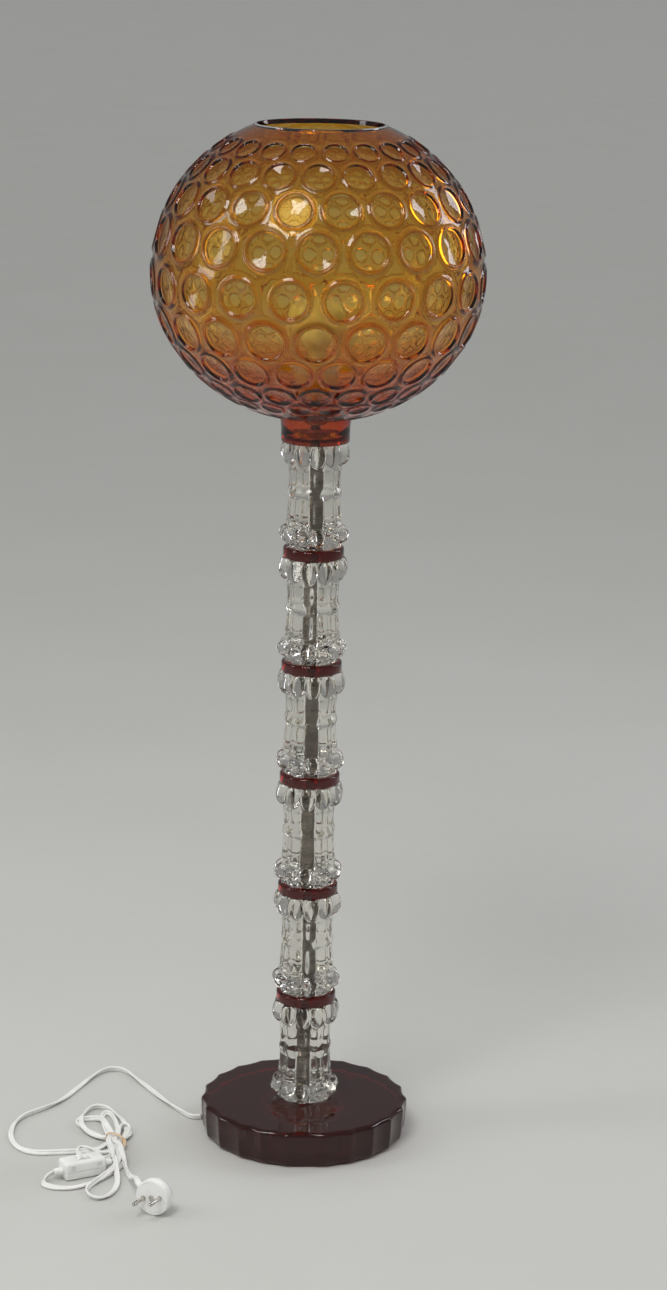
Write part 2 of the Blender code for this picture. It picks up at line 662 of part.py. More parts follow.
def make_plug():
    """Round two-pin plug standing on its rim, with the lead entering at the edge."""
    frame, rotation = plug_frame()
    front = 0.0045

    def part(piece, look):
        piece.parent = frame
        finish_piece(piece, look)
        return piece

    disc = cylinder("plug_face", PLUG_RADIUS, front, (0.0, 0.0, -front / 2), 32, PARTS)
    round_edges(disc, 0.0010, segments=1, angle=50.0)
    part(disc, "white_plastic")
    back = turned("plug_cover", [
        (0.0, PLUG_THICKNESS), (0.0075, PLUG_THICKNESS), (0.0090, PLUG_THICKNESS - 0.0030),
        (0.0150, PLUG_THICKNESS - 0.0050), (PLUG_RADIUS, 0.0040), (PLUG_RADIUS, 0.0),
        (0.0, 0.0),
    ], 32, "white_plastic", closed=False)
    back.location.z = -front - GAP
    back.rotation_euler.x = math.pi
    back.parent = frame
    for side, name in ((-1, "plug_pin_left"), (1, "plug_pin_right")):
        place = Vector((math.cos(PIN_LINE_TILT), math.sin(PIN_LINE_TILT), 0.0)) * side
        pin = cylinder(name, PIN_RADIUS, PIN_LENGTH, place * (PIN_SPACING / 2)
                       + Vector((0.0, 0.0, GAP + PIN_LENGTH / 2)), 12, PARTS)
        round_edges(pin, 0.0007, segments=1, angle=50.0)
        part(pin, "nickel")
    screw = cylinder("plug_screw", 0.0030, 0.0012, (0.0, 0.0, GAP + 0.0006), 12, PARTS)
    part(screw, "nickel")

    outward = Vector((-math.sin(CORD_ENTRY_TILT), math.cos(CORD_ENTRY_TILT), 0.0))
    way = Vector(CORD_ENTRY_WAY).normalized()
    centre = Vector((*PLUG_CENTRE, PLUG_RADIUS + FLOOR_GAP))
    bend = [outward * (PLUG_RADIUS + reach) + Vector((0.0, 0.0, -depth))
            for reach, depth in ((GAP, 0.0080), (0.0025, 0.0083), (0.0050, 0.0100))]
    bend.append(bend[-1] + way * 0.0040)
    sleeve = [centre + rotation @ point for point in bend]
    round_rod("plug_sleeve", sleeve, 0.0035, "white_plastic")

    end = centre + rotation @ (bend[-1] + way * 3 * GAP)
    points = smooth_route([*PLUG_ROUTE, end], 0.0080)
    round_rod("plug_lead", points, CORD_WIDTH / 2, "white_cord")


# ---------------------------------------------------------------- build
clear_scene()
PARTS = new_collection("glass_floor_lamp")
CUTTERS = new_collection("cutters")
make_base()
make_gland()
NECK_BOTTOM = make_stem()
make_shade(NECK_BOTTOM)
make_tube_and_nuts(NECK_BOTTOM)
make_holder()
make_bulb()
make_inner_wire()
make_lead()
make_hank()
make_switch()
make_plug()
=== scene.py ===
"""Glass floor lamp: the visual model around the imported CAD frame.

Metres, +Z up, front along -Y, as in the CAD. Each section below makes one group of pieces.
"""
import math

import bmesh
import bpy
import numpy as np
from mathutils import Matrix, Vector, geometry, noise


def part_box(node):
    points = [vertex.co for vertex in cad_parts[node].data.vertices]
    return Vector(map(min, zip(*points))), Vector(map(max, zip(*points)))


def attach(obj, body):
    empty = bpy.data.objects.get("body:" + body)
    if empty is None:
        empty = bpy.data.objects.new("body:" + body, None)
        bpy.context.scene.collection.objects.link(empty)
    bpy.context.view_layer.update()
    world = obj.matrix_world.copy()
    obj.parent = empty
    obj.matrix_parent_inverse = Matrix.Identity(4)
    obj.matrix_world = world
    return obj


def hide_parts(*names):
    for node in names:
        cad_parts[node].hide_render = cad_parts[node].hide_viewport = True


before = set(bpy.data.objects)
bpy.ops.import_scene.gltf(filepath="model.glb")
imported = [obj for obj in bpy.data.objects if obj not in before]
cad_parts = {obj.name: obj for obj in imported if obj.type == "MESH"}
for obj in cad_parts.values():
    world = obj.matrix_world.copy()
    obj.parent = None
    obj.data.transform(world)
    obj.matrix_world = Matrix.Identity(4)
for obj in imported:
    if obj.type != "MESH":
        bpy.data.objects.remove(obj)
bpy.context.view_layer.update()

GAP = 0.0003
NOISE_SEED = 7
noise.seed_set(NOISE_SEED)              # unseeded, noise_vector is shifted by the clock


def placed(name, data):
    """A new object in the scene."""
    item = bpy.data.objects.new(name, data)
    bpy.context.scene.collection.objects.link(item)
    return item


# ---------------------------------------------------------------- camera
CAMERA_PLACE = (0.0215, -3.024, 1.289)
CAMERA_PITCH = math.radians(90.0 - 14.32)
CAMERA_ROLL = math.radians(1.1)
FOCAL_LENGTH = 87.54

camera = placed("camera", bpy.data.cameras.new("camera"))
camera.data.lens = FOCAL_LENGTH
camera.data.sensor_width = 36.0
camera.data.clip_start = 0.05
camera.data.clip_end = 60.0
camera.matrix_world = (Matrix.Translation(CAMERA_PLACE) @ Matrix.Rotation(CAMERA_PITCH, 4, "X")
                       @ Matrix.Rotation(CAMERA_ROLL, 4, "Z"))
bpy.context.scene.camera = camera


# ---------------------------------------------------------------- materials
class Look:
    """A node material around one Principled shader, with helpers for its texture nodes."""

    def __init__(self, name, **settings):
        self.material = bpy.data.materials.new(name)
        self.material.use_nodes = True
        self.tree = self.material.node_tree
        self.shader = self.tree.nodes["Principled BSDF"]
        self.place = self.add("ShaderNodeTexCoord").outputs["Object"]
        for socket, value in settings.items():
            self.shader.inputs[socket.replace("_", " ")].default_value = value

    def add(self, kind, **sockets):
        node = self.tree.nodes.new(kind)
        for socket, value in sockets.items():
            node.inputs[socket.replace("_", " ")].default_value = value
        return node

    def link(self, source, target):
        self.tree.links.new(source, target)

    def noise(self, scale, detail=3.0, roughness=0.5):
        texture = self.add("ShaderNodeTexNoise", Scale=scale, Detail=detail, Roughness=roughness)
        self.link(self.place, texture.inputs["Vector"])
        return texture.outputs["Fac"]

    def roughness(self, source, low, high):
        spread = self.add("ShaderNodeMapRange", From_Min=0.3, From_Max=0.7, To_Min=low, To_Max=high)
        self.link(source, spread.inputs["Value"])
        self.link(spread.outputs["Result"], self.shader.inputs["Roughness"])

    def tint(self, source, stops):
        ramp = self.add("ShaderNodeValToRGB")
        elements = ramp.color_ramp.elements
        while len(elements) < len(stops):
            elements.new(0.5)
        for element, (place, colour) in zip(elements, stops):
            element.position = place
            element.color = (*colour, 1.0)
        self.link(source, ramp.inputs["Fac"])
        self.link(ramp.outputs["Color"], self.shader.inputs["Base Color"])

    def bump(self, *layers):
        """Bump layers of (height source, strength, distance in metres), laid over each other."""
        normal = None
        for source, strength, distance in layers:
            node = self.add("ShaderNodeBump", Strength=strength, Distance=distance)
            self.link(source, node.inputs["Height"])
            if normal is not None:
                self.link(normal, node.inputs["Normal"])
            normal = node.outputs["Normal"]
        self.link(normal, self.shader.inputs["Normal"])

    def absorb(self, colour, density):
        volume = self.add("ShaderNodeVolumeAbsorption", Color=(*colour, 1.0), Density=density)
        self.link(volume.outputs["Volume"], self.tree.nodes["Material Output"].inputs["Volume"])


def glass(name, colour, density, roughness, ripple, scale, tint=(1.0, 1.0, 1.0), through=1.0):
    """Glass coloured by absorption; ripple is the height in metres of its faint waves."""
    look = Look(name, Base_Color=(*tint, 1.0), Transmission_Weight=through, IOR=1.5)
    look.roughness(look.noise(35.0, 4.0), *roughness)
    look.bump((look.noise(scale, 2.0), 0.6, ripple), (look.noise(scale * 7.0, 2.0), 0.4, ripple / 8))
    look.absorb(colour, density)
    return look.material


AMBER = glass("amber_glass", (0.945, 0.74, 0.0), 620.0, (0.02, 0.05), 0.0004, 45.0)
OXBLOOD = glass("oxblood_glass", (0.90, 0.23, 0.0), 260.0, (0.02, 0.06), 0.0001, 30.0,
                tint=(0.52, 0.06, 0.035), through=0.965)
CLEAR = glass("clear_glass", (0.50, 0.42, 0.15), 5.0, (0.0, 0.04), 0.0003, 90.0)


def opal_look():
    look = Look("opal_glass", Roughness=0.22, Subsurface_Weight=0.25, Subsurface_Scale=0.01)
    look.tint(look.noise(30.0), [(0.3, (0.90, 0.88, 0.82)), (0.7, (0.95, 0.94, 0.90))])
    look.bump((look.noise(400.0), 0.1, 0.0001))
    return look.material


def metal_look(name, dark, light, rough):
    look = Look(name, Metallic=1.0)
    stain = look.noise(250.0, 4.0)
    look.tint(stain, [(0.3, dark), (0.7, light)])
    look.roughness(look.noise(150.0), *rough)
    look.bump((stain, 0.25, 0.0001))
    return look.material


def plastic_look(name, low, high, rough, grain=900.0, depth=0.00006):
    look = Look(name)
    look.tint(look.noise(60.0, 4.0), [(0.35, low), (0.65, high)])
    look.roughness(look.noise(150.0), *rough)
    look.bump((look.noise(grain, 2.0), 0.35, depth), (look.noise(45.0, 2.0), 0.2, 0.0003))
    return look.material


OPAL = opal_look()
STEEL = metal_look("zinc_steel", (0.28, 0.27, 0.25), (0.48, 0.47, 0.44), (0.28, 0.5))
TUBE_STEEL = metal_look("tube_steel", (0.16, 0.13, 0.10), (0.30, 0.26, 0.21), (0.3, 0.5))
BRASS = metal_look("brass", (0.48, 0.32, 0.11), (0.72, 0.53, 0.22), (0.22, 0.45))
NICKEL = metal_look("nickel", (0.52, 0.50, 0.46), (0.68, 0.66, 0.62), (0.12, 0.3))
ALUMINIUM = metal_look("aluminium", (0.60, 0.60, 0.60), (0.78, 0.78, 0.78), (0.25, 0.42))
WHITE_PLASTIC = plastic_look("white_plastic", (0.80, 0.80, 0.78), (0.88, 0.88, 0.865), (0.28, 0.45))
WHITE_CORD = plastic_look("white_cord", (0.78, 0.78, 0.755), (0.86, 0.86, 0.84), (0.36, 0.52),
                          grain=500.0, depth=0.00008)
BAKELITE = plastic_look("cream_bakelite", (0.74, 0.70, 0.60), (0.82, 0.79, 0.70), (0.2, 0.35))
PORCELAIN = plastic_look("porcelain", (0.86, 0.85, 0.81), (0.92, 0.91, 0.88), (0.12, 0.25))
INSULATION = plastic_look("wire_insulation", (0.24, 0.24, 0.26), (0.34, 0.34, 0.36), (0.4, 0.55))
RUBBER = plastic_look("black_rubber", (0.03, 0.03, 0.03), (0.06, 0.06, 0.06), (0.6, 0.85))
BAND = plastic_look("rubber_band", (0.62, 0.44, 0.26), (0.76, 0.60, 0.40), (0.5, 0.7), 1400.0)


def felt_look():
    look = Look("felt", Roughness=0.95, Sheen_Weight=0.4, Sheen_Roughness=0.5)
    fibres = look.noise(1600.0, 6.0, 0.7)
    look.tint(fibres, [(0.3, (0.05, 0.03, 0.025)), (0.7, (0.14, 0.08, 0.07))])
    look.bump((fibres, 0.7, 0.0004))
    return look.material


FELT = felt_look()


# ---------------------------------------------------------------- mesh helpers
def smooth_step(value):
    value = np.clip(value, 0.0, 1.0)
    return value * value * (3.0 - 2.0 * value)


def face_outwards(mesh):
    """Turns the faces of a closed mesh so that its enclosed volume counts as positive."""
    mesh.calc_loop_triangles()
    places = np.empty(len(mesh.vertices) * 3)
    mesh.vertices.foreach_get("co", places)
    corners = np.empty(len(mesh.loop_triangles) * 3, dtype=np.int32)
    mesh.loop_triangles.foreach_get("vertices", corners)
    a, b, c = places.reshape(-1, 3)[corners.reshape(-1, 3)].transpose(1, 0, 2)
    if np.einsum("ij,ij->i", a, np.cross(b, c)).sum() < 0.0:
        mesh.flip_normals()


def shade(mesh, material, sharp):
    """Smooth faces of one material, with edges over an angle in degrees left sharp."""
    mesh.materials.clear()
    mesh.materials.append(material)
    mesh.shade_smooth()
    mesh.set_sharp_from_angle(angle=math.radians(sharp))


def mesh_from(name, verts, faces, material, sharp):
    mesh = bpy.data.meshes.new(name)
    mesh.from_pydata([tuple(map(float, v)) for v in verts], [], faces)
    mesh.validate()
    face_outwards(mesh)
    shade(mesh, material, sharp)
    return mesh


def finish_piece(piece, replaced, body="lamp"):
    """Joins a piece to its body and hides the CAD nodes that it stands for."""
    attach(piece, body)
    if replaced:
        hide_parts(*replaced)
    return piece


def piece_from(name, verts, faces, material, replaced=(), sharp=50.0, body="lamp"):
    return finish_piece(placed(name, mesh_from(name, verts, faces, material, sharp)), replaced, body)


def carve(piece, cutter_meshes):
    """Cuts closed meshes out of a piece."""
    for mesh in cutter_meshes:
        modifier = piece.modifiers.new("cut", "BOOLEAN")
        modifier.operation, modifier.solver = "DIFFERENCE", "EXACT"
        modifier.object = placed("cutter", mesh)
    bpy.context.view_layer.update()
    evaluated = piece.evaluated_get(bpy.context.evaluated_depsgraph_get())
    carved = bpy.data.meshes.new_from_object(evaluated)
    for modifier in list(piece.modifiers):
        bpy.data.objects.remove(modifier.object, do_unlink=True)
    piece.modifiers.clear()
    piece.data = carved


def bridge(low, high, columns, flip=False):
    """Quads between two closed rows of vertices, from the number of the first vertex of each."""
    quads = []
    for column in range(columns):
        after = (column + 1) % columns
        quad = (low + column, low + after, high + after, high + column)
        quads.append(quad[::-1] if flip else quad)
    return quads


def grid_faces(rows, columns, start=0, flip=False, closed=False):
    """Quads between successive closed rows of vertices, and back to the first row if closed."""
    starts = [start + row * columns for row in range(rows)] + [start] * closed
    return [quad for low, high in zip(starts, starts[1:]) for quad in bridge(low, high, columns, flip)]


def circle_points(radii, heights, columns, turn=0.0):
    """Rows of points round the Z axis; radii is rows x columns or rows."""
    angles = 2.0 * math.pi * np.arange(columns) / columns + turn
    radii = np.asarray(radii, float)
    if radii.ndim == 1:
        radii = np.repeat(radii[:, None], columns, axis=1)
    heights = np.asarray(heights, float)
    if heights.ndim == 1:
        heights = np.repeat(heights[:, None], columns, axis=1)
    return np.stack([radii * np.cos(angles), radii * np.sin(angles), heights], axis=-1)


def turned(name, profile, columns, material, replaced, closed=True, sharp=35.0, place=None,
           body="lamp"):
    """A turned solid from (radius, height) points; points on the axis become poles."""
    verts, faces, starts = [], [], []
    for radius, height in profile:
        starts.append((len(verts), radius < 1e-7))
        if radius < 1e-7:
            verts.append((0.0, 0.0, height))
        else:
            for column in range(columns):
                angle = 2.0 * math.pi * column / columns
                verts.append((radius * math.cos(angle), radius * math.sin(angle), height))
    pairs = list(zip(starts, starts[1:] + (starts[:1] if closed else [])))
    for (first, first_pole), (second, second_pole) in pairs:
        if first_pole and second_pole:
            continue
        for column in range(columns):
            after = (column + 1) % columns
            if first_pole:
                faces.append((first, second + after, second + column))
            elif second_pole:
                faces.append((first + column, first + after, second))
            else:
                faces.append((first + column, first + after, second + after, second + column))
    if place is not None:
        verts = [place @ Vector(vert) for vert in verts]
    return piece_from(name, verts, faces, material, replaced, sharp, body)


def rounded(points, radius, steps):
    """A closed (r, z) outline with its corners rounded off."""
    result = []
    count = len(points)
    for index in range(count):
        before, corner, after = (Vector(points[index - 1]), Vector(points[index]),
                                 Vector(points[(index + 1) % count]))
        back, ahead = before - corner, after - corner
        reach = min(radius, back.length * 0.45, ahead.length * 0.45)
        start = corner + back.normalized() * reach
        end = corner + ahead.normalized() * reach
        for step in range(steps + 1):
            t = step / steps
            result.append(tuple(start * (1 - t) ** 2 + corner * 2 * t * (1 - t) + end * t ** 2))
    return result


def smooth_route(points, spacing):
    """Evenly spaced points along one smooth curve through the route's own points."""
    places = [Vector(point) for point in points]
    ends = [2 * places[0] - places[1], *places, 2 * places[-1] - places[-2]]
    fine = []
    for index in range(1, len(ends) - 2):
        before, start, end, after = ends[index - 1:index + 3]
        for step in range(24):
            t = step / 24.0
            fine.append(0.5 * (2 * start + (end - before) * t
                               + (2 * before - 5 * start + 4 * end - after) * t ** 2
                               + (3 * start - before - 3 * end + after) * t ** 3))
    fine.append(places[-1])
    total = sum((b - a).length for a, b in zip(fine, fine[1:]))
    count = max(2, round(total / spacing))
    picked = [fine[0]]
    walked = 0.0
    for start, end in zip(fine, fine[1:]):
        walked += (end - start).length
        if walked >= total * len(picked) / count - 1e-9 and len(picked) < count:
            picked.append(end)
    picked.append(fine[-1])
    return picked


# ---------------------------------------------------------------- cords
CORD_WIDTH = 0.0054
CORE = CORD_WIDTH / 4                   # radius of one core of the flat twin cord
FLOOR_GAP = 0.0003
CORD_STEP = 0.0030
CORD_TWIST = 0.075                      # length over which the cord rolls from side to side
SETTLE_ROUNDS = 260
SIDES = 24                              # of the cords and the plug's sleeve
EXIT_ANGLE = math.radians(172.0)
GLAND_END = 0.1079
GLAND_HEIGHT = 0.0049
TIE_CENTRE = Vector((-0.1914, -0.0535, 0.0))
TIE_ANGLE = math.radians(-28.0)
TIE_SLOT = 0.0057                       # spacing of the strands side by side in the band
TIE_LAYER = 0.0028
TIE_LOWEST = 0.0034
SWITCH_CENTRE = Vector((-0.2185, -0.1265, FLOOR_GAP))
SWITCH_ANGLE = math.radians(28.0)
SWITCH_SLEEVE_END = 0.0313              # from the switch's middle to the end of a sleeve
SWITCH_SLEEVE_HEIGHT = 0.0075
PLUG_RADIUS = 0.0178
PLUG_CENTRE = Vector((-0.1440, -0.2200, PLUG_RADIUS + FLOOR_GAP))
PLUG_FACING = Vector((-0.47, -0.88, 0.0)).normalized()
CORD_ENTRY_TILT = math.radians(70.0)
CORD_ENTRY_WAY = Vector((-0.645, 0.0, -0.763)).normalized()   # in the plug's own axes

TIE_ACROSS = Vector((math.cos(TIE_ANGLE), math.sin(TIE_ANGLE), 0.0))
TIE_ALONG = Vector((-math.sin(TIE_ANGLE), math.cos(TIE_ANGLE), 0.0))
SWITCH_AXIS = Vector((math.cos(SWITCH_ANGLE), math.sin(SWITCH_ANGLE), 0.0))

STRETCH = [
    (-0.1200, 0.0200), (-0.1369, 0.0440), (-0.1531, 0.0730), (-0.1684, 0.1000),
    (-0.1828, 0.1240), (-0.1947, 0.1405), (-0.2059, 0.1460), (-0.2173, 0.1405), (-0.2289, 0.1225),
    (-0.2396, 0.0970), (-0.2500, 0.0705), (-0.2606, 0.0490), (-0.2709, 0.0345), (-0.2803, 0.0235),
    (-0.2895, 0.0140), (-0.2965, 0.0000), (-0.3000, -0.0190), (-0.2984, -0.0430), (-0.2910, -0.0640),
    (-0.2806, -0.0765), (-0.2690, -0.0815), (-0.2562, -0.0810), (-0.2422, -0.0790),
    (-0.2300, -0.0770), (-0.2200, -0.0745), (-0.2090, -0.0690),
]
LOOP_NARROW = [
    (-0.1977, -0.0361), (-0.2046, -0.0131), (-0.2092, 0.0129), (-0.2075, 0.0255),
    (-0.2015, 0.0225), (-0.1965, 0.0080), (-0.1926, -0.0100), (-0.1895, -0.0357),
]
LOOP_LOW_LEFT = [
    (-0.1935, -0.0690), (-0.1985, -0.0765), (-0.2099, -0.0755), (-0.2206, -0.0700),
    (-0.2274, -0.0731), (-0.2276, -0.0832), (-0.2195, -0.0925), (-0.2071, -0.0960),
    (-0.1955, -0.0915), (-0.1925, -0.0780),
]
LOOP_LEFT = [
    (-0.2012, -0.0440), (-0.2136, -0.0292), (-0.2259, -0.0168), (-0.2350, -0.0068),
    (-0.2328, 0.0038), (-0.2218, 0.0083), (-0.2113, 0.0055), (-0.2038, -0.0105), (-0.1950, -0.0335),
]
TO_SWITCH = [(-0.1905, -0.0700), (-0.1885, -0.0840), (-0.1848, -0.0970), (-0.1843, -0.1050)]
FROM_SWITCH = [
    (-0.2545, -0.1475), (-0.2560, -0.1560), (-0.2490, -0.1630), (-0.2390, -0.1655),
    (-0.2290, -0.1645), (-0.2180, -0.1595), (-0.2071, -0.1500), (-0.1970, -0.1370),
    (-0.1870, -0.1210), (-0.1800, -0.1070), (-0.1790, -0.0930), (-0.1815, -0.0790),
]
LOOP_BIG = [
    (-0.1838, -0.0406), (-0.1815, -0.0199), (-0.1874, 0.0060), (-0.1957, 0.0215), (-0.2040, 0.0345),
    (-0.2161, 0.0419), (-0.2248, 0.0335), (-0.2298, 0.0172), (-0.2303, -0.0013), (-0.2268, -0.0194),
    (-0.2149, -0.0350), (-0.2040, -0.0440),
]
LOOP_LOWEST = [
    (-0.1935, -0.0720), (-0.1900, -0.0930), (-0.1860, -0.1163), (-0.1825, -0.1404),
    (-0.1826, -0.1595), (-0.1880, -0.1786), (-0.1980, -0.1895), (-0.2080, -0.1819),
    (-0.2110, -0.1690), (-0.2070, -0.1560), (-0.1990, -0.1440), (-0.1910, -0.1300),
    (-0.1850, -0.1150), (-0.1835, -0.1000), (-0.1850, -0.0800),
]
LOOP_RIGHT = [
    (-0.1830, -0.0450), (-0.1787, -0.0350), (-0.1775, -0.0230), (-0.1800, -0.0120),
    (-0.1855, -0.0085), (-0.1895, -0.0170), (-0.1898, -0.0320),
]
TO_PLUG = [(-0.1862, -0.0660), (-0.1842, -0.0760), (-0.1813, -0.0900), (-0.1785, -0.1050)]
RISE_TO_PLUG = [
    (-0.1755, -0.1190, 0.0030), (-0.1722, -0.1350, 0.0050), (-0.1690, -0.1500, 0.0090),
    (-0.1660, -0.1640, 0.0145), (-0.1634, -0.1760, 0.0200), (-0.1612, -0.1870, 0.0245),
]


class Strand:
    """Route points of one cord, with how each is held and which strand lies on which."""

    def __init__(self):
        self.places, self.held, self.order, self.level = [], [], [], 0

    def lay(self, points, held=False):
        self.level += 1
        for point in points:
            height = point[2] if len(point) > 2 else CORE + FLOOR_GAP
            self.places.append(Vector((point[0], point[1], height)))
            self.held.append(held)
            self.order.append(self.level)
        return self

    def through_band(self, slot, layer, upwards):
        """Straight through the rubber band in one slot of one layer."""
        middle = TIE_CENTRE + TIE_ACROSS * TIE_SLOT * slot
        height = TIE_LOWEST + TIE_LAYER * layer
        sense = 1.0 if upwards else -1.0
        self.lay([(*(middle + TIE_ALONG * 0.0045 * step * sense).xy, height) for step in (-1, 0, 1)],
                 held=True)
        return self


def plug_rotation():
    across = Vector((-PLUG_FACING.y, PLUG_FACING.x, 0.0))
    return Matrix((across, Vector((0.0, 0.0, 1.0)), PLUG_FACING)).transposed()


def plug_entry_bend():
    """Points of the plug's cord sleeve, from its rim to where the cord comes out."""
    rotation = plug_rotation()
    outward = Vector((-math.sin(CORD_ENTRY_TILT), math.cos(CORD_ENTRY_TILT), 0.0))
    bend = [outward * (PLUG_RADIUS + reach) + Vector((0.0, 0.0, -depth))
            for reach, depth in ((0.0003, 0.0080), (0.0025, 0.0083), (0.0050, 0.0100))]
    bend.append(bend[-1] + CORD_ENTRY_WAY * 0.0040)
    bend.append(bend[-1] + CORD_ENTRY_WAY * 0.0009)
    return [PLUG_CENTRE + rotation @ point for point in bend]


def cord_strands():
    exit_way = Vector((math.cos(EXIT_ANGLE), math.sin(EXIT_ANGLE), 0.0))
    start = exit_way * GLAND_END + Vector((0.0, 0.0, GLAND_HEIGHT))
    feed = start + exit_way * 0.0070 - Vector((0.0, 0.0, 0.0009))
    sleeve = Vector((0.0, 0.0, SWITCH_SLEEVE_HEIGHT))
    switch_in = SWITCH_CENTRE + SWITCH_AXIS * SWITCH_SLEEVE_END + sleeve
    switch_out = SWITCH_CENTRE - SWITCH_AXIS * SWITCH_SLEEVE_END + sleeve
    mains = Strand().lay([start, feed], held=True).lay(STRETCH)
    mains.through_band(-1, 0, True).lay(LOOP_NARROW).through_band(0, 0, False)
    mains.lay(LOOP_LOW_LEFT).through_band(-1, 1, True).lay(LOOP_LEFT).through_band(0, 1, False)
    mains.lay(TO_SWITCH).lay([switch_in + SWITCH_AXIS * 0.0050, switch_in], held=True)

    entry = plug_entry_bend()[-1]
    lead = Strand().lay([switch_out, switch_out - SWITCH_AXIS * 0.0050], held=True)
    lead.lay(FROM_SWITCH).through_band(1, 0, True).lay(LOOP_BIG).through_band(-1, 2, False)
    lead.lay(LOOP_LOWEST).through_band(1, 1, True).lay(LOOP_RIGHT).through_band(0, 2, False)
    lead.lay(TO_PLUG).lay([*RISE_TO_PLUG, entry], held=True)
    return mains, lead


def strand_points(number, strand):
    """Evenly spaced points of a strand: place, held or free, order of laying, cord and roll."""
    route = smooth_route(strand.places, CORD_STEP)
    knots = np.array(strand.places)
    count = len(route)
    marks = np.linspace(0.0, 1.0, count)
    reach = np.concatenate([[0.0], np.cumsum(np.linalg.norm(np.diff(knots, axis=0), axis=1))])
    reach /= reach[-1]
    near = np.abs(marks[:, None] - reach[None, :]).argmin(axis=1)
    order = np.interp(marks, reach, strand.order) + 40 * number
    route = np.array(route)
    away = smooth_step((np.linalg.norm(route[:, :2] - np.array(TIE_CENTRE)[:2], axis=1) - 0.012) / 0.03)
    wave = np.sin(marks * count * CORD_STEP / CORD_TWIST * math.pi + 0.7 + number)
    roll = away * (math.radians(35.0) + math.radians(40.0) * wave)
    return route, np.array(strand.held)[near], order, np.full(count, number), roll


def settle(strands):
    """Lays the cords down: strands that cross rest on each other, and the rest lies on the floor."""
    parts = [strand_points(number, strand) for number, strand in enumerate(strands)]
    place, held, order, cord_of, roll = (np.concatenate(column) for column in zip(*parts))
    home = place.copy()
    ends = [0, *np.cumsum([len(part[0]) for part in parts])]
    tall = CORE + CORE * np.abs(np.sin(roll))
    wide = CORE + CORE * np.abs(np.cos(roll))
    index = np.arange(len(place))
    same = (cord_of[:, None] == cord_of[None, :]) & (np.abs(index[:, None] - index[None, :]) < 6)
    above = np.sign(order[:, None] - order[None, :])
    free = (~held).astype(float)
    for _ in range(SETTLE_ROUNDS):
        gap = place[:, None, :] - place[None, :, :]
        flat = np.linalg.norm(gap[:, :, :2], axis=2)
        reach = wide[:, None] + wide[None, :]
        need = (tall[:, None] + tall[None, :]) * np.sqrt(np.clip(1.0 - (flat / reach) ** 2, 0.0, 1.0))
        short = np.where(same, 0.0, np.clip(need - gap[:, :, 2] * above, 0.0, None))
        short = np.where(need > 0.0, short, 0.0)
        lift = np.where(above > 0, short, 0.0).max(axis=1)
        push = np.where(above < 0, short, 0.0).max(axis=1)
        place[:, 2] += free * (0.6 * lift - 0.25 * push - 0.00012)
        for low, high in zip(ends, ends[1:]):
            part = place[low:high]
            bend = np.zeros_like(part)
            bend[1:-1] = (part[:-2] + part[2:]) / 2 - part[1:-1]
            part[:, 2] += free[low:high] * 0.45 * bend[:, 2]
        place[:, 2] = np.where(held, home[:, 2], np.maximum(place[:, 2], tall + FLOOR_GAP))
    result = []
    for low, high in zip(ends, ends[1:]):
        line = place[low:high]
        for _ in range(5):
            line[1:-1] += 0.5 * ((line[:-2] + line[2:]) / 2 - line[1:-1])
            line[1:-1, 2] = np.maximum(line[1:-1, 2], tall[low:high][1:-1] + 2 * FLOOR_GAP)
        result.append(([Vector(point) for point in line], roll[low:high]))
    return result


def twin_section():
    """Outline (across, up) of a flat twin cord: two round cores joined by a web."""
    points = []
    for index in range(SIDES):
        angle = 2.0 * math.pi * (index + 0.5) / SIDES
        x, y = math.cos(angle), math.sin(angle)
        across = math.copysign(CORE + CORE * (2.0 * abs(x) ** 1.15 - 1.0), x)
        height = math.sqrt(max(0.0, CORE ** 2 - (abs(across) - CORE) ** 2))
        points.append((across, math.copysign(max(height, CORE * 0.55), y)))
    return points


def swept(name, centres, section, rolls, material, replaced=(), sizes=None):
    """A tube that carries the section along the centres, rolled by its angle at each."""
    verts = []
    count = len(centres)
    for index, centre in enumerate(centres):
        ahead = (centres[min(index + 1, count - 1)] - centres[max(index - 1, 0)]).normalized()
        side = ahead.cross(Vector((0.0, 0.0, 1.0))).normalized()
        up = side.cross(ahead).normalized()
        turn = Matrix.Rotation(rolls[index], 3, ahead)
        side, up = turn @ side, turn @ up
        size = 1.0 if sizes is None else float(sizes[index])
        for across, height in section:
            verts.append(centre + side * across * size + up * height * size)
    sides = len(section)
    faces = grid_faces(count, sides, flip=True)
    faces.append(tuple(range(sides)))
    faces.append(tuple(range((count - 1) * sides, count * sides))[::-1])
    return piece_from(name, verts, faces, material, replaced, sharp=70.0)


(MAINS_LINE, MAINS_ROLL), (LEAD_LINE, LEAD_ROLL) = settle(cord_strands())
mains_flex = swept("mains_flex", MAINS_LINE, twin_section(), MAINS_ROLL, WHITE_CORD,
                   ("mains_cord", "cord_loops_upper", "cord_loops_lower", "cord_waist"))
plug_flex = swept("plug_flex", LEAD_LINE, twin_section(), LEAD_ROLL, WHITE_CORD, ("plug_lead",))

# ---------------------------------------------------------------- shade
SHADE_RADIUS = 0.1627
SHADE_WALL = 0.0042
SHADE_ABOVE = 0.955
SHADE_BELOW = 0.895
SHADE_CENTRE = 0.8880
MOUTH_RADIUS = 0.0634
NECK_RADIUS = 0.0342
NECK_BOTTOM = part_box("shade_globe")[0].z
NECK_FLOOR = 0.0050
NECK_WALL = 0.0076
BORE_RADIUS = 0.0056
DIMPLES = 20                            # in each row round the shade
RING_HEIGHT = 0.0015
SEAMS = [math.radians(-99.0 + 120.0 * turn) for turn in range(3)]
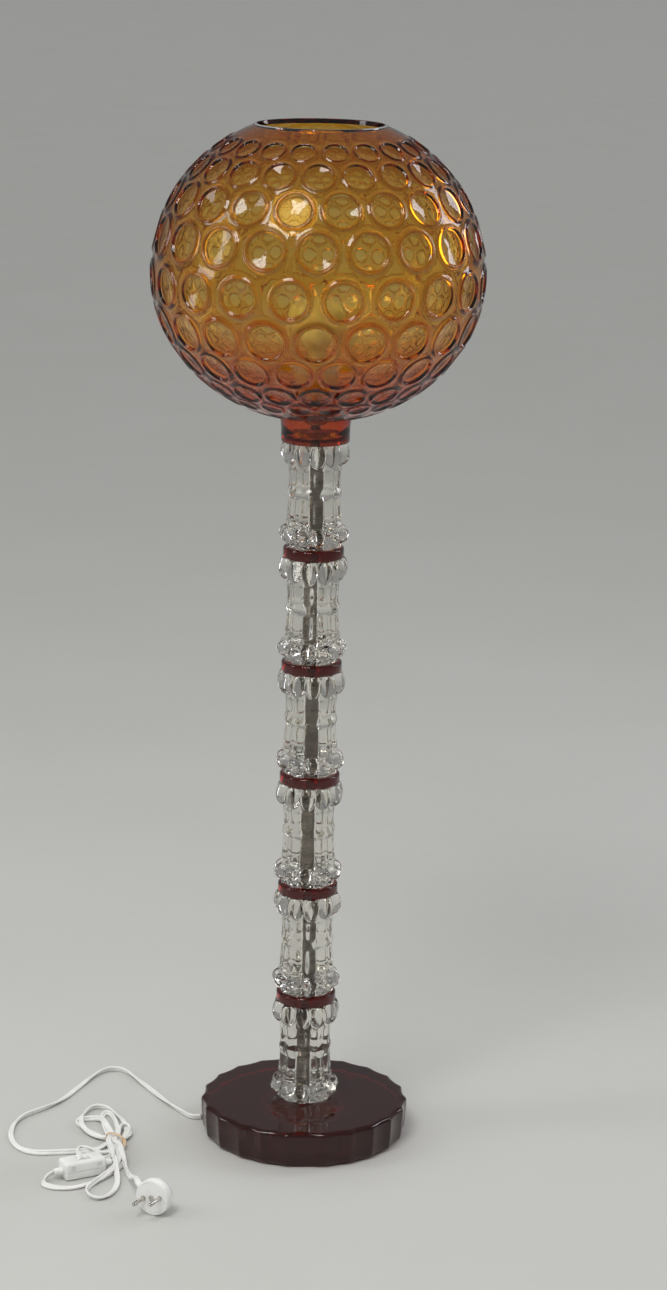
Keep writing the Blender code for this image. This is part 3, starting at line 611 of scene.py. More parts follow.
# (height of the row over the middle of the shade, outer radius of its rings, points round one)
DIMPLE_ROWS = [
    (0.1250, 0.0134, 24), (0.1049, 0.0168, 28), (0.0762, 0.0200, 32), (0.0391, 0.0217, 34),
    (-0.0063, 0.0213, 34), (-0.0482, 0.0218, 34), (-0.0806, 0.0193, 30), (-0.1059, 0.0155, 26),
    (-0.1205, 0.0122, 22), (-0.1345, 0.0092, 16),
]
# (share of the ring's outer radius, height of the glass there in mm on a ring of 21 mm)
DIMPLE_SHAPE = [
    (0.00, -3.70), (0.05, -3.45), (0.10, -3.20), (0.16, -3.22), (0.22, -2.95), (0.74, -1.15),
    (0.77, -0.90), (0.80, 0.35), (0.83, 1.10), (0.87, 1.45), (0.91, 1.38), (0.96, 0.80), (1.02, 0.12),
    (1.08, -0.15), (1.16, 0.00),
]
RING_SHARES = (0.05, 0.10, 0.16, 0.22, 0.74, 0.77, 0.80, 0.83, 0.87, 0.91, 0.96, 1.02)
SHADE_COLUMNS = 200                     # round the mouth, the neck and the inner wall
INNER_ROWS = 84
FILL_SPACING = 0.0062                   # between the points of the glass round the dimples
FILL_CLEARANCE = 0.0011
POINT_CLEARANCE = 0.0007
SEAM_HEIGHT, SEAM_WIDTH = 0.0004, 0.0007
CHUNK = 4000                            # points handled at a time
RIM_MARK, THROAT_MARK = -2, -3


def shade_angles(points):
    """(azimuth, angle over the equator) of points on or near the shade."""
    rise = points[..., 2] - SHADE_CENTRE
    reach = np.where(rise > 0, SHADE_ABOVE, SHADE_BELOW)
    return (np.arctan2(points[..., 1], points[..., 0]),
            np.arctan2(rise / reach, np.hypot(points[..., 0], points[..., 1])))


def shade_surface(around, angle, inset):
    """Points on the smooth shade, sunk by an inset, and the way out of the glass at each."""
    around, angle = np.broadcast_arrays(np.asarray(around, float), np.asarray(angle, float))
    reach = np.where(angle > 0, SHADE_ABOVE, SHADE_BELOW)
    flat = np.stack([np.cos(around), np.sin(around), np.zeros_like(around)], axis=-1)
    rise = np.stack([np.zeros_like(around)] * 2 + [np.ones_like(around)], axis=-1)
    points = flat * (np.cos(angle) * SHADE_RADIUS)[..., None]
    points = points + rise * (SHADE_CENTRE + np.sin(angle) * SHADE_RADIUS * reach)[..., None]
    outward = flat * np.cos(angle)[..., None] + rise * (np.sin(angle) / reach)[..., None]
    outward /= np.linalg.norm(outward, axis=-1)[..., None]
    return points - outward * inset, outward


def place_dimples():
    """Centre, radius, ring size and point count of every dimple, a little uneven as pressed."""
    pitch = 2.0 * math.pi / DIMPLES
    found = []
    for row, (height, radius, count) in enumerate(DIMPLE_ROWS):
        reach = SHADE_ABOVE if height > 0 else SHADE_BELOW
        angle = math.asin(height / (SHADE_RADIUS * reach))
        first = -math.pi / 2 + (0.0 if row % 2 else 0.5 * pitch)
        for number in range(DIMPLES):
            spot = Vector((row * 3.1, number * 1.7, 0.5))
            slip = noise.noise_vector(spot)
            centre, _ = shade_surface(first + number * pitch + 0.004 * slip.x,
                                      angle + 0.003 * slip.y, RING_HEIGHT)
            found.append((centre, radius * (1.0 + 0.03 * slip.z), count))
    centres = np.array([centre for centre, _, _ in found])
    radii = np.array([radius for _, radius, _ in found])
    apart = np.linalg.norm(centres[:, None] - centres[None, :], axis=2)
    np.fill_diagonal(apart, 1.0)
    room = (apart * radii[:, None] / (radii[:, None] + radii[None, :])).min(axis=1) * 0.975
    return centres, radii, np.minimum(1.12, room / radii), [count for _, _, count in found]


def chunks(count):
    return (slice(low, low + CHUNK) for low in range(0, count, CHUNK))


def pressed(points, centres, radii, shape):
    """How far the dimples, their rings and the mould's seams move the glass outwards."""
    shares, heights = np.array(shape).T
    result = np.zeros(len(points))
    for some in chunks(len(points)):
        part = points[some]
        q = np.linalg.norm(part[:, None] - centres[None, :], axis=2) / radii[None, :]
        own = q.argmin(axis=1)
        nearest = q[np.arange(len(part)), own]
        result[some] = np.interp(nearest, shares, heights / 1000.0) * radii[own] / 0.021
        around, angle = shade_angles(part)
        for seam in SEAMS:
            turn = np.abs((around - seam + math.pi) % (2 * math.pi) - math.pi)
            ridge = np.exp(-(turn * np.cos(angle) * SHADE_RADIUS / SEAM_WIDTH) ** 2)
            result[some] += np.where(nearest > 1.0, SEAM_HEIGHT * ridge, 0.0)
    return result


def dimple_fan(centre, radius, limit, count, hub):
    """Points, faces and rim edges of one dimple, whose middle is vertex number hub."""
    around, angle = shade_angles(centre)
    _, outward = shade_surface(around, angle, 0.0)
    east = np.array([-math.sin(around), math.cos(around), 0.0])
    north = np.cross(outward, east)
    shares = [share for share in RING_SHARES if share < limit - 0.02] + [limit]
    points, faces = [centre], []
    for step, share in enumerate(shares):
        for corner in range(count):
            turn = 2.0 * math.pi * (corner + 0.5 * (step % 2)) / count
            way = east * math.cos(turn) + north * math.sin(turn)
            points.append(centre + way * radius * share)
    starts = [hub + 1 + step * count for step in range(len(shares))]
    for corner in range(count):
        after = (corner + 1) % count
        faces.append((hub, starts[0] + corner, starts[0] + after))
        for step, (low, high) in enumerate(zip(starts, starts[1:])):
            if step % 2:
                faces.append((low + corner, high + corner, high + after))
                faces.append((low + corner, high + after, low + after))
            else:
                faces.append((low + corner, high + corner, low + after))
                faces.append((low + after, high + corner, high + after))
    rim = [(starts[-1] + corner, starts[-1] + (corner + 1) % count) for corner in range(count)]
    return points, faces, rim


def fill_spots(centres, reaches, mouth, throat):
    """Points of the plain glass between the dimples and along the seams."""
    spots = []
    rows = int((mouth - throat) * SHADE_RADIUS / FILL_SPACING)
    half_row = 0.5 * (mouth - throat) / rows
    for row in range(1, rows):
        angle = throat + (mouth - throat) * row / rows
        number = max(12, int(2.0 * math.pi * math.cos(angle) * SHADE_RADIUS / FILL_SPACING))
        spots += [(2.0 * math.pi * (k + 0.5 * (row % 2)) / number, angle) for k in range(number)]
        for seam in SEAMS:
            spots += [(seam + side * 0.0009 / (SHADE_RADIUS * math.cos(angle + half)), angle + half)
                      for side in (-1, 0, 1) for half in (0.0, half_row)]
    spots, _ = shade_surface(*np.array(spots).T, RING_HEIGHT)
    gaps = [(np.linalg.norm(spots[some][:, None] - centres[None, :], axis=2) - reaches).min(axis=1)
            for some in chunks(len(spots))]
    spots = spots[np.concatenate(gaps) > FILL_CLEARANCE]
    kept = [spots[0]]
    for spot in spots[1:]:
        if np.linalg.norm(np.array(kept[-60:]) - spot, axis=1).min() > POINT_CLEARANCE:
            kept.append(spot)
    return kept


def joining_faces(around, angle, group, edges, used):
    """Triangles between the rims, the loose points and the end rings, found on a flat map."""
    number_of = {old: new for new, old in enumerate(used)}
    spread = np.tan(math.pi / 4 + angle[used] / 2)
    flat = [Vector((float(r * math.cos(a)), float(r * math.sin(a))))
            for r, a in zip(spread, around[used])]
    lines = [(number_of[a], number_of[b]) for a, b in edges]
    out = geometry.delaunay_2d_cdt(flat, lines, [], 0, 1e-6)
    origin = [used[source[0]] if source else None for source in out[3]]
    faces = []
    for face in out[2]:
        corners = [origin[corner] for corner in face]
        marks = {int(group[corner]) for corner in corners}
        if len(marks) > 1 or marks <= {-1, RIM_MARK}:
            faces.append(tuple(corners[::-1]))
    return faces


def shade_outside(mouth, throat):
    """Vertices and faces of the outer wall, fine round every dimple and coarse between them."""
    centres, radii, limits, counts = place_dimples()
    points, faces, group, edges = [], [], [], []
    for index, (centre, radius, limit, count) in enumerate(zip(centres, radii, limits, counts)):
        fan, fan_faces, rim = dimple_fan(centre, radius, limit, count, len(points))
        points += fan
        faces += fan_faces
        edges += rim
        group += [-1] * (len(fan) - count) + [index] * count
    loose = len(points)
    points += fill_spots(centres, radii * limits, mouth, throat)
    group += [-1] * (len(points) - loose)
    turns = -math.pi / 2 + 2.0 * math.pi * np.arange(SHADE_COLUMNS) / SHADE_COLUMNS
    for level, mark in ((mouth, RIM_MARK), (throat, THROAT_MARK)):
        start = len(points)
        points += list(shade_surface(turns, level, RING_HEIGHT)[0])
        group += [mark] * SHADE_COLUMNS
        edges += [(start + k, start + (k + 1) % SHADE_COLUMNS) for k in range(SHADE_COLUMNS)]
    points = np.array(points)
    around, angle = shade_angles(points)
    used = sorted({end for edge in edges for end in edge} | set(range(loose, len(points))))
    faces += joining_faces(around, angle, group, edges, used)

    on_wall, outward = shade_surface(around, angle, RING_HEIGHT)
    near = smooth_step((mouth - angle) / 0.035) * smooth_step((angle - throat) / 0.04)
    shift = pressed(points, centres, radii, DIMPLE_SHAPE) * near
    wave = np.array([noise.noise(Vector(point) * 26.0) for point in points])
    return on_wall + outward * (shift + 0.00025 * wave * near)[:, None], faces, centres, radii


def neck_profile(top, wide):
    """(radius, height) down the outside of the neck from its top, and up inside it."""
    profile = []
    for share in np.linspace(0.0, 1.0, 9)[1:]:
        narrowing = smooth_step(np.array(share * 2.5))
        profile.append((float(wide + (NECK_RADIUS - 0.0004 * share - wide) * narrowing),
                        top + (NECK_BOTTOM + 0.0012 - top) * share))
    floor = NECK_BOTTOM + NECK_FLOOR
    inner = NECK_RADIUS - NECK_WALL
    profile += [(NECK_RADIUS - 0.0008, NECK_BOTTOM + 0.0003), (NECK_RADIUS - 0.0018, NECK_BOTTOM),
                (0.0245, NECK_BOTTOM), (0.0238, NECK_BOTTOM + 0.0028),
                (BORE_RADIUS, NECK_BOTTOM + 0.0030), (BORE_RADIUS, floor), (inner - 0.0060, floor),
                (inner - 0.0022, floor + 0.0012), (inner - 0.0004, floor + 0.0036),
                (inner, top + 0.0040)]
    return profile


def shade_inside(mouth, centres, radii):
    """Rows of points up the inner wall, hollow behind the dimples and thicker towards the neck."""
    throat = -math.acos((NECK_RADIUS - NECK_WALL + 0.0085) / SHADE_RADIUS)
    angles = np.linspace(throat, mouth - 0.012, INNER_ROWS)
    around = -math.pi / 2 + 2.0 * math.pi * np.arange(SHADE_COLUMNS) / SHADE_COLUMNS
    grid_around, grid_angle = np.meshgrid(around, angles)
    skin, outward = shade_surface(grid_around, grid_angle, RING_HEIGHT)
    hollow = [(step / 12, -1.15 * (1.0 + math.cos(math.pi * step / 12))) for step in range(13)]
    follow = pressed(skin.reshape(-1, 3), centres, radii, hollow).reshape(grid_angle.shape)
    near = smooth_step((mouth - angles) / 0.10) * smooth_step((angles - throat) / 0.08)
    thick = (0.0045 * smooth_step((-angles - 0.30) / 0.80)
             + 0.0012 * smooth_step((angles - 0.60) / 0.40))
    wall = SHADE_WALL - RING_HEIGHT + thick[:, None] - follow * near[:, None]
    return skin - outward * wall[..., None]


def make_shade():
    """Globe pressed with rows of round dimples, with a ground mouth and a closed neck."""
    mouth = math.acos(MOUTH_RADIUS / SHADE_RADIUS)
    throat = -math.acos((NECK_RADIUS + 0.0012) / SHADE_RADIUS)
    outer, faces, centres, radii = shade_outside(mouth, throat)
    inner = shade_inside(mouth, centres, radii)
    neck = neck_profile(float(outer[-1, 2]), float(np.hypot(*outer[-1, :2])))
    count = len(outer)
    mouth_start, throat_start = count - 2 * SHADE_COLUMNS, count - SHADE_COLUMNS
    lower = circle_points([r for r, _ in neck], [z for _, z in neck], SHADE_COLUMNS, -math.pi / 2)
    lip = circle_points([float(np.hypot(*inner[-1, 0, :2])) + 0.0006, MOUTH_RADIUS - RING_HEIGHT - 0.0006],
                        [float(outer[mouth_start, 2]) + 0.0005] * 2, SHADE_COLUMNS, -math.pi / 2)
    rows = np.concatenate([lower, inner, lip])
    top = count + (len(rows) - 1) * SHADE_COLUMNS
    faces += grid_faces(len(rows), SHADE_COLUMNS, count, flip=True)
    faces += bridge(throat_start, count, SHADE_COLUMNS, flip=True)
    faces += bridge(top, mouth_start, SHADE_COLUMNS, flip=True)
    piece_from("shade_glass", np.concatenate([outer, rows.reshape(-1, 3)]), faces, AMBER,
               ("shade_globe",), sharp=60.0)


make_shade()

# ---------------------------------------------------------------- stem
LOBES = 10
SEGMENT_COLUMNS = 240
SEGMENT_ROWS = 120
SEGMENT_HEIGHT = 0.1047
# Beads at the two ends of a lobe: (distance from the axis, height), (radii outwards, across and up)
BEADS = [((0.0262, 0.0128), (0.0090, 0.0084, 0.0083)), ((0.0256, 0.0948), (0.0092, 0.0086, 0.0125))]
SEGMENT_TURNS = (7.0, -8.0, 4.0, -3.0, 9.0, -5.0)     # degrees, from the top segment down
# (height, crest radius, depth of the grooves between the lobes) up one segment
SEGMENT_TIERS = [
    (0.0000, 0.0262, 0.0016), (0.0006, 0.0274, 0.0020), (0.0020, 0.0282, 0.0022), (0.0036, 0.0278, 0.0024),
    (0.0050, 0.0262, 0.0024), (0.0200, 0.0270, 0.0020), (0.0222, 0.0286, 0.0012), (0.0240, 0.0286, 0.0012),
    (0.0262, 0.0274, 0.0020), (0.0300, 0.0274, 0.0022), (0.0420, 0.0264, 0.0022), (0.0490, 0.0259, 0.0020),
    (0.0515, 0.0259, 0.0008), (0.0540, 0.0268, 0.0006), (0.0570, 0.0269, 0.0006), (0.0595, 0.0260, 0.0010),
    (0.0620, 0.0256, 0.0020), (0.0700, 0.0259, 0.0022), (0.0780, 0.0265, 0.0020), (0.0800, 0.0268, 0.0010),
    (0.0830, 0.0266, 0.0014), (0.0870, 0.0262, 0.0020), (0.1025, 0.0262, 0.0016), (0.1047, 0.0250, 0.0012),
]


def oval(phi, height, centre, radii):
    """Distance from the axis to the far side of a bead, seen at angle phi and height; -1 beside it."""
    distance, middle = centre
    radial, across, tall = radii
    a = (np.cos(phi) / radial) ** 2 + (np.sin(phi) / across) ** 2
    b = -2.0 * distance * np.cos(phi) / radial ** 2
    c = (distance / radial) ** 2 + ((height - middle) / tall) ** 2 - 1.0
    inside = b * b - 4.0 * a * c
    return np.where(inside > 0, (-b + np.sqrt(np.clip(inside, 0.0, None))) / (2.0 * a), -1.0)


def soft_max(first, second, width):
    mix = np.clip(0.5 + 0.5 * (first - second) / width, 0.0, 1.0)
    return second + (first - second) * mix + width * mix * (1.0 - mix)


def segment_mesh():
    """One pressed column of ten lobes: beads at both ends, panels and scalloped rings between."""
    heights = np.linspace(0.0, SEGMENT_HEIGHT, SEGMENT_ROWS)
    knots = np.array(SEGMENT_TIERS)
    crest = np.interp(heights, knots[:, 0], knots[:, 1])
    groove = np.interp(heights, knots[:, 0], knots[:, 2])
    angles = 2.0 * math.pi * np.arange(SEGMENT_COLUMNS) / SEGMENT_COLUMNS
    pitch = 2.0 * math.pi / LOBES
    phi = (angles + pitch / 2) % pitch - pitch / 2
    valley = np.abs(np.sin(phi * LOBES / 2.0)) ** 2.2
    radius = crest[:, None] - groove[:, None] * valley[None, :]
    grid_phi, grid_height = np.meshgrid(phi, heights)
    for centre, radii in BEADS:
        bead = oval(grid_phi, grid_height, centre, radii)
        radius = np.where(bead > 0, soft_max(bead, radius, 0.0007), radius)
    radius = (radius + 0.25 * (np.roll(radius, 1, axis=1) + np.roll(radius, -1, axis=1))) / 1.5
    radius[1:-1] = (radius[1:-1] + 0.25 * (radius[:-2] + radius[2:])) / 1.5
    bore = circle_points([BORE_RADIUS + 0.0006, BORE_RADIUS, BORE_RADIUS, BORE_RADIUS + 0.0006],
                         [SEGMENT_HEIGHT, SEGMENT_HEIGHT - 0.0006, 0.0006, 0.0], SEGMENT_COLUMNS)
    rows = np.concatenate([circle_points(radius, heights, SEGMENT_COLUMNS), bore])
    return mesh_from("stem_glass", rows.reshape(-1, 3),
                     grid_faces(len(rows), SEGMENT_COLUMNS, closed=True), CLEAR, 50.0)


def make_stem():
    mesh = segment_mesh()
    for number, turn in enumerate(SEGMENT_TURNS, 1):
        node = "stem_segment_%d" % number
        piece = placed("stem_glass_%d" % number, mesh)
        piece.location.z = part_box(node)[0].z
        piece.rotation_euler.z = -math.pi / 2 + math.radians(turn)
        finish_piece(piece, (node,))


def make_discs():
    for number in range(1, len(SEGMENT_TURNS)):
        node = "spacer_disc_%d" % number
        low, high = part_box(node)
        outline = [(high.x, high.z), (high.x, low.z), (BORE_RADIUS, low.z), (BORE_RADIUS, high.z)]
        turned("disc_glass_%d" % number, rounded(outline, 0.0022, 6), 128, OXBLOOD, (node,), sharp=60.0)


make_stem()
make_discs()

# ---------------------------------------------------------------- base
BASE_RADIUS = 0.1065
BASE_TOP = 0.0375
BASE_BOTTOM = 0.0018
BASE_COLUMNS = 528
FLUTES = 22
FLUTE_DEPTH = 0.0029
EVEN_FLUTE = math.radians(16.36)
WELL_RADIUS, WELL_DEPTH = 0.0440, 0.0175        # the hollow under the base, for the nut
CHANNEL_START, CHANNEL_END = 0.0200, 0.1400     # the cord's way out under the base
CHANNEL_WIDTH, CHANNEL_TOP = 0.0092, 0.0098
# Directions of the ridges between the flutes; the seven at the front are of uneven width.
FRONT_RIDGES = (-37.6, -23.3, -8.8, 12.6, 27.6, 42.0, 57.3)
BASE_EDGE = [                              # (inset from the rim, height) round the outer edge
    (0.0050, 1.0000), (0.0034, 0.9930), (0.0019, 0.9740), (0.0008, 0.9450), (0.0002, 0.9080),
    (0.0000, 0.8600), (0.0004, 0.6000), (0.0010, 0.3200), (0.0019, 0.1200), (0.0025, 0.0600),
    (0.0034, 0.0260), (0.0048, 0.0080), (0.0066, 0.0000),
]


def base_ridges():
    back = 360.0 + FRONT_RIDGES[0] - FRONT_RIDGES[-1]
    count = FLUTES - len(FRONT_RIDGES)
    rest = [FRONT_RIDGES[-1] + back * (index + 1) / (count + 1) for index in range(count)]
    return sorted(math.radians((angle - 90.0) % 360.0) for angle in (*FRONT_RIDGES, *rest))


def base_radius(angles):
    """Radius of the rim: hollow flutes meeting in soft ridges."""
    ridges = np.array(base_ridges())
    ridges = np.concatenate([[ridges[-1] - 2 * math.pi], ridges, [ridges[0] + 2 * math.pi]])
    place = np.searchsorted(ridges, angles, side="right")
    low, high = ridges[place - 1], ridges[place]
    share = (angles - low) / (high - low)
    depth = FLUTE_DEPTH * ((high - low) / EVEN_FLUTE) ** 1.2
    hollow = np.sin(math.pi * share) ** 0.75
    return BASE_RADIUS - depth * hollow


def channel_mesh():
    """Cutter for the round-topped channel that the cord leaves by."""
    half = CHANNEL_WIDTH / 2
    outline = [(-half, -0.01), (half, -0.01)]
    outline += [(math.cos(math.pi * k / 20) * half, CHANNEL_TOP - half + math.sin(math.pi * k / 20) * half)
                for k in range(21)]
    way = Vector((math.cos(EXIT_ANGLE), math.sin(EXIT_ANGLE), 0.0))
    side = Vector((-way.y, way.x, 0.0))
    corners = [side * x + Vector((0.0, 0.0, z)) for x, z in outline]
    n = len(corners)
    mesh = bpy.data.meshes.new("channel_cutter")
    mesh.from_pydata([corner + way * reach for reach in (CHANNEL_START, CHANNEL_END) for corner in corners],
                     [], bridge(0, n, n) + [tuple(range(n))[::-1], tuple(range(n, 2 * n))])
    return mesh


def make_base():
    angles = 2.0 * math.pi * np.arange(BASE_COLUMNS) / BASE_COLUMNS
    rim = base_radius(angles)
    for _ in range(2):
        rim = (rim + 0.5 * (np.roll(rim, 1) + np.roll(rim, -1))) / 2.0
    mean = BASE_RADIUS - 0.0020
    rows = []
    for inset in (0.0820, 0.0500, 0.0200, 0.0110, 0.0075):
        share = float(smooth_step(np.array((0.0200 - inset) / 0.0150)))
        rows.append(((mean - inset) + (rim - mean) * share, BASE_TOP))
    rows += [(rim - inset, BASE_BOTTOM + (BASE_TOP - BASE_BOTTOM) * level) for inset, level in BASE_EDGE]
    for inset in (0.0100, 0.0250, 0.0560):
        share = float(smooth_step(np.array((0.0300 - inset) / 0.0200)))
        rows.append(((mean - inset) + (rim - mean) * share, BASE_BOTTOM))
    well_top = BASE_BOTTOM + WELL_DEPTH
    well = [(WELL_RADIUS, BASE_BOTTOM), (WELL_RADIUS, well_top - 0.0010), (WELL_RADIUS - 0.0010, well_top),
            (BORE_RADIUS, well_top), (BORE_RADIUS, BASE_TOP)]
    rows += [(np.full(BASE_COLUMNS, radius), height) for radius, height in well]
    points = circle_points(np.array([radius for radius, _ in rows]), [height for _, height in rows],
                           BASE_COLUMNS)
    base = piece_from("foot_glass", points.reshape(-1, 3),
                      grid_faces(len(rows), BASE_COLUMNS, flip=True, closed=True), OXBLOOD, ("base_glass",))
    carve(base, [channel_mesh()])
    shade(base.data, OXBLOOD, 50.0)


make_base()

# ---------------------------------------------------------------- tube, lampholder and bulb
HOLDER_BOTTOM = 0.7405
HOLDER_RADIUS = 0.0205
TUBE_RADIUS = 0.0050
BULB_SEAT = 0.7600
BULB_RADIUS = 0.0300
BULB_TOP = BULB_SEAT + 0.1050
BULB_WALL = 0.0010
HOLDER_WALL = 0.0018


def threaded(name, profile, pitch, depth, thread, columns, material, replaced, body="lamp"):
    """A turned piece whose wall carries a screw thread between two heights."""
    radii, heights = np.array(profile).T
    turns = np.arange(columns) / columns
    wave = np.cos(2.0 * math.pi * (heights[:, None] / pitch - turns[None, :]))
    inside = ((heights > thread[0]) & (heights < thread[1]) & (radii > depth * 3.0)).astype(float)
    rows = circle_points(radii[:, None] + depth * (wave - 1.0) * inside[:, None], heights, columns)
    faces = grid_faces(len(profile), columns)
    last = (len(profile) - 1) * columns
    faces += [tuple(range(columns))[::-1], tuple(range(last, last + columns))]
    piece_from(name, rows.reshape(-1, 3), faces, material, replaced, body=body)


def make_lampholder():
    low, outer, wall = HOLDER_BOTTOM, HOLDER_RADIUS, HOLDER_WALL
    split, rim = low + 0.0185, low + 0.0500
    turned("lampholder_cap", rounded([
        (outer, low + 0.0100), (outer, split - GAP), (outer - wall, split - GAP),
        (outer - wall, low + 0.0135), (0.0100, low + 0.0095), (TUBE_RADIUS + GAP, low + 0.0095),
        (TUBE_RADIUS + GAP, low), (0.0090, low), (outer - 0.0060, low + 0.0030)], 0.0010, 3),
        64, BAKELITE, ("holder_cap",))
    ribs = [(outer, split)]
    for rib in range(5):
        start = split + 0.0035 + 0.0050 * rib
        ribs += [(outer, start), (outer - 0.0005, start + 0.0004), (outer - 0.0005, start + 0.0012),
                 (outer, start + 0.0016)]
    ribs += [(outer, rim - 0.0012), (outer - 0.0004, rim - 0.0003), (outer - 0.0010, rim),
             (outer - wall, rim), (outer - wall, split)]
    turned("lampholder_skirt", ribs, 64, BAKELITE, ("holder_skirt",))


def make_tube():
    bottom, top = (corner.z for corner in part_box("stem_tube"))
    profile = [(TUBE_RADIUS, height) for height in np.linspace(bottom + 0.0012, top - 0.0012, 1500)]
    profile = [(TUBE_RADIUS - 0.0006, bottom), (TUBE_RADIUS, bottom + 0.0006), *profile,
               (TUBE_RADIUS, top - 0.0006), (TUBE_RADIUS - 0.0006, top)]
    threaded("threaded_tube", profile, 0.0020, 0.00028, (bottom, top), 20, TUBE_STEEL, ("stem_tube",))


def make_bulb():
    seat = BULB_SEAT
    neck_top = seat + 0.0270
    cap = [(0.0012, seat), (0.0040, seat + 0.0002), (0.0045, seat + 0.0012), (0.0108, seat + 0.0058)]
    cap += [(0.0134, height) for height in np.linspace(seat + 0.0085, neck_top - 0.0045, 30)]
    cap += [(0.0131, neck_top - 0.0030), (0.0128, neck_top - 0.0004), (0.0100, neck_top)]
    threaded("bulb_screw_cap", cap, 0.0036, 0.0007, (seat + 0.0080, neck_top - 0.0040), 48,
             ALUMINIUM, ("bulb_cap",), "bulb")
    centre = BULB_TOP - BULB_RADIUS
    neck = neck_top + GAP
    outline = [(BULB_RADIUS * math.cos(angle), centre + BULB_RADIUS * math.sin(angle))
               for angle in np.linspace(-0.70, math.pi / 2, 30)]
    shoulder = Vector(outline[0])
    throat = Vector((0.0143, neck + 0.0060))
    pull = (Vector((shoulder.x - 0.0075, shoulder.y - 0.0090)), Vector((0.0148, neck + 0.0180)))
    blend = []
    for t in map(float, np.linspace(0.0, 1.0, 12)[1:]):
        blend.append(tuple(shoulder * (1 - t) ** 3 + pull[0] * 3 * t * (1 - t) ** 2
                           + pull[1] * 3 * t * t * (1 - t) + throat * t ** 3))
    foot = [(0.0140, neck + 0.0010), (0.0136, neck), (0.0128, neck), (0.0128, neck + 0.0080)]
    outside = [(0.0, BULB_TOP)] + outline[-2::-1] + blend + foot
    inside = [(max(0.0, r - BULB_WALL), z - (BULB_WALL if r < 0.012 else 0.0))
              for r, z in blend[::-1] + outline]
    turned("bulb_envelope", outside + inside[2:-1] + [(0.0, BULB_TOP - BULB_WALL)], 72, OPAL,
           ("bulb_glass",), closed=False, body="bulb")


make_lampholder()
make_tube()
make_bulb()

# ---------------------------------------------------------------- rubber band, switch and plug
ROCKER_RADIUS = 0.0062
ROCKER_WIDTH = 0.0080
ROCKER_HEIGHT = 0.0150
ROCKER_REST = math.radians(11.0)
SWITCH_LENGTH, SWITCH_WIDTH, SWITCH_TALL = 0.0440, 0.0220, 0.0180
SWITCH_SPLIT = 0.0085
PLUG_FRONT = 0.0045
PIN_RADIUS = 0.0020
PIN_LENGTH = 0.0190
PIN_OFFSET = 0.0095
PIN_TILT = math.radians(12.0)
BAND_TURNS, BAND_STEPS = 2, 96
BAND_OUTLINE = [(-1, -0.8), (-0.6, -1), (0.6, -1), (1, -0.8), (1, 0.8), (0.6, 1), (-0.6, 1), (-1, 0.8)]
# The band's loose end, across and over and along the bundle.
BAND_TAIL = [
    (0.0100, 0.0100, 0.0010), (0.0122, 0.0098, -0.0006), (0.0146, 0.0086, -0.0030),
    (0.0160, 0.0066, -0.0062), (0.0158, 0.0050, -0.0080), (0.0146, 0.0048, -0.0074),
    (0.0134, 0.0062, -0.0046), (0.0118, 0.0084, -0.0014), (0.0100, 0.0096, 0.0006),
]


def block(size, centre, bevel=0.0, segments=3, flat=None):
    """A box with rounded edges, as a bmesh; edges at the height called flat stay sharp."""
    shape = bmesh.new()
    bmesh.ops.create_cube(shape, size=1.0)
    for vertex in shape.verts:
        vertex.co = Vector([vertex.co[axis] * size[axis] + centre[axis] for axis in range(3)])
    if bevel:
        edges = [edge for edge in shape.edges
                 if flat is None or any(abs(vertex.co.z - flat) > 1e-5 for vertex in edge.verts)]
        bmesh.ops.bevel(shape, geom=edges, offset=bevel, segments=segments, profile=0.5,
                        affect="EDGES", clamp_overlap=True)
    return shape


def round_block(radii, depth, sides, matrix):
    """A capped cone or cylinder, as a bmesh."""
    shape = bmesh.new()
    bmesh.ops.create_cone(shape, cap_ends=True, segments=sides, radius1=radii[0], radius2=radii[1],
                          depth=depth, matrix=matrix)
    return shape


def mesh_of(shape):
    mesh = bpy.data.meshes.new("shape")
    shape.to_mesh(mesh)
    shape.free()
    return mesh


def solid(name, shape, place, material, replaced, cuts, sharp=32.0, body="lamp"):
    """A piece from a bmesh, with other shapes cut out of it."""
    piece = placed(name, mesh_of(shape))
    carve(piece, [mesh_of(cut) for cut in cuts])
    piece.data.name = name
    piece.data.transform(place)
    shade(piece.data, material, sharp)
    finish_piece(piece, replaced, body)


def make_band():
    """Rubber band wound twice round the bundle, with the short loop that is left over."""
    centres = []
    for step in range(BAND_TURNS * BAND_STEPS + 1):
        angle = 2.0 * math.pi * step / BAND_STEPS - 0.4
        c, s = math.cos(angle), math.sin(angle)
        across = 0.0102 * math.copysign(abs(c) ** 0.72, c)
        height = 0.0068 + 0.0060 * math.copysign(abs(s) ** 0.72, s)
        along = (0.0024 * (step / (BAND_TURNS * BAND_STEPS) * 2.0 - 1.0)
                 + 0.0010 * math.sin(angle * 0.5 + 0.6))
        lift = 0.0006 * smooth_step(np.array(step / BAND_STEPS - 0.8))
        centres.append(TIE_CENTRE + TIE_ACROSS * (across * (1.0 + lift * 20)) + TIE_ALONG * along
                       + Vector((0.0, 0.0, height + lift)))
    swept("band", centres, [(0.0005 * x, 0.0009 * y) for x, y in BAND_OUTLINE],
          [math.radians(90.0)] * len(centres), BAND, ("rubber_band",))
    line = smooth_route([TIE_CENTRE + TIE_ACROSS * across + TIE_ALONG * along + Vector((0.0, 0.0, height))
                         for across, height, along in BAND_TAIL], 0.0008)
    section = [(0.0005 * math.cos(k * math.pi / 4), 0.0008 * math.sin(k * math.pi / 4)) for k in range(8)]
    swept("band_tail", line, section, [math.radians(70.0)] * len(line), BAND)


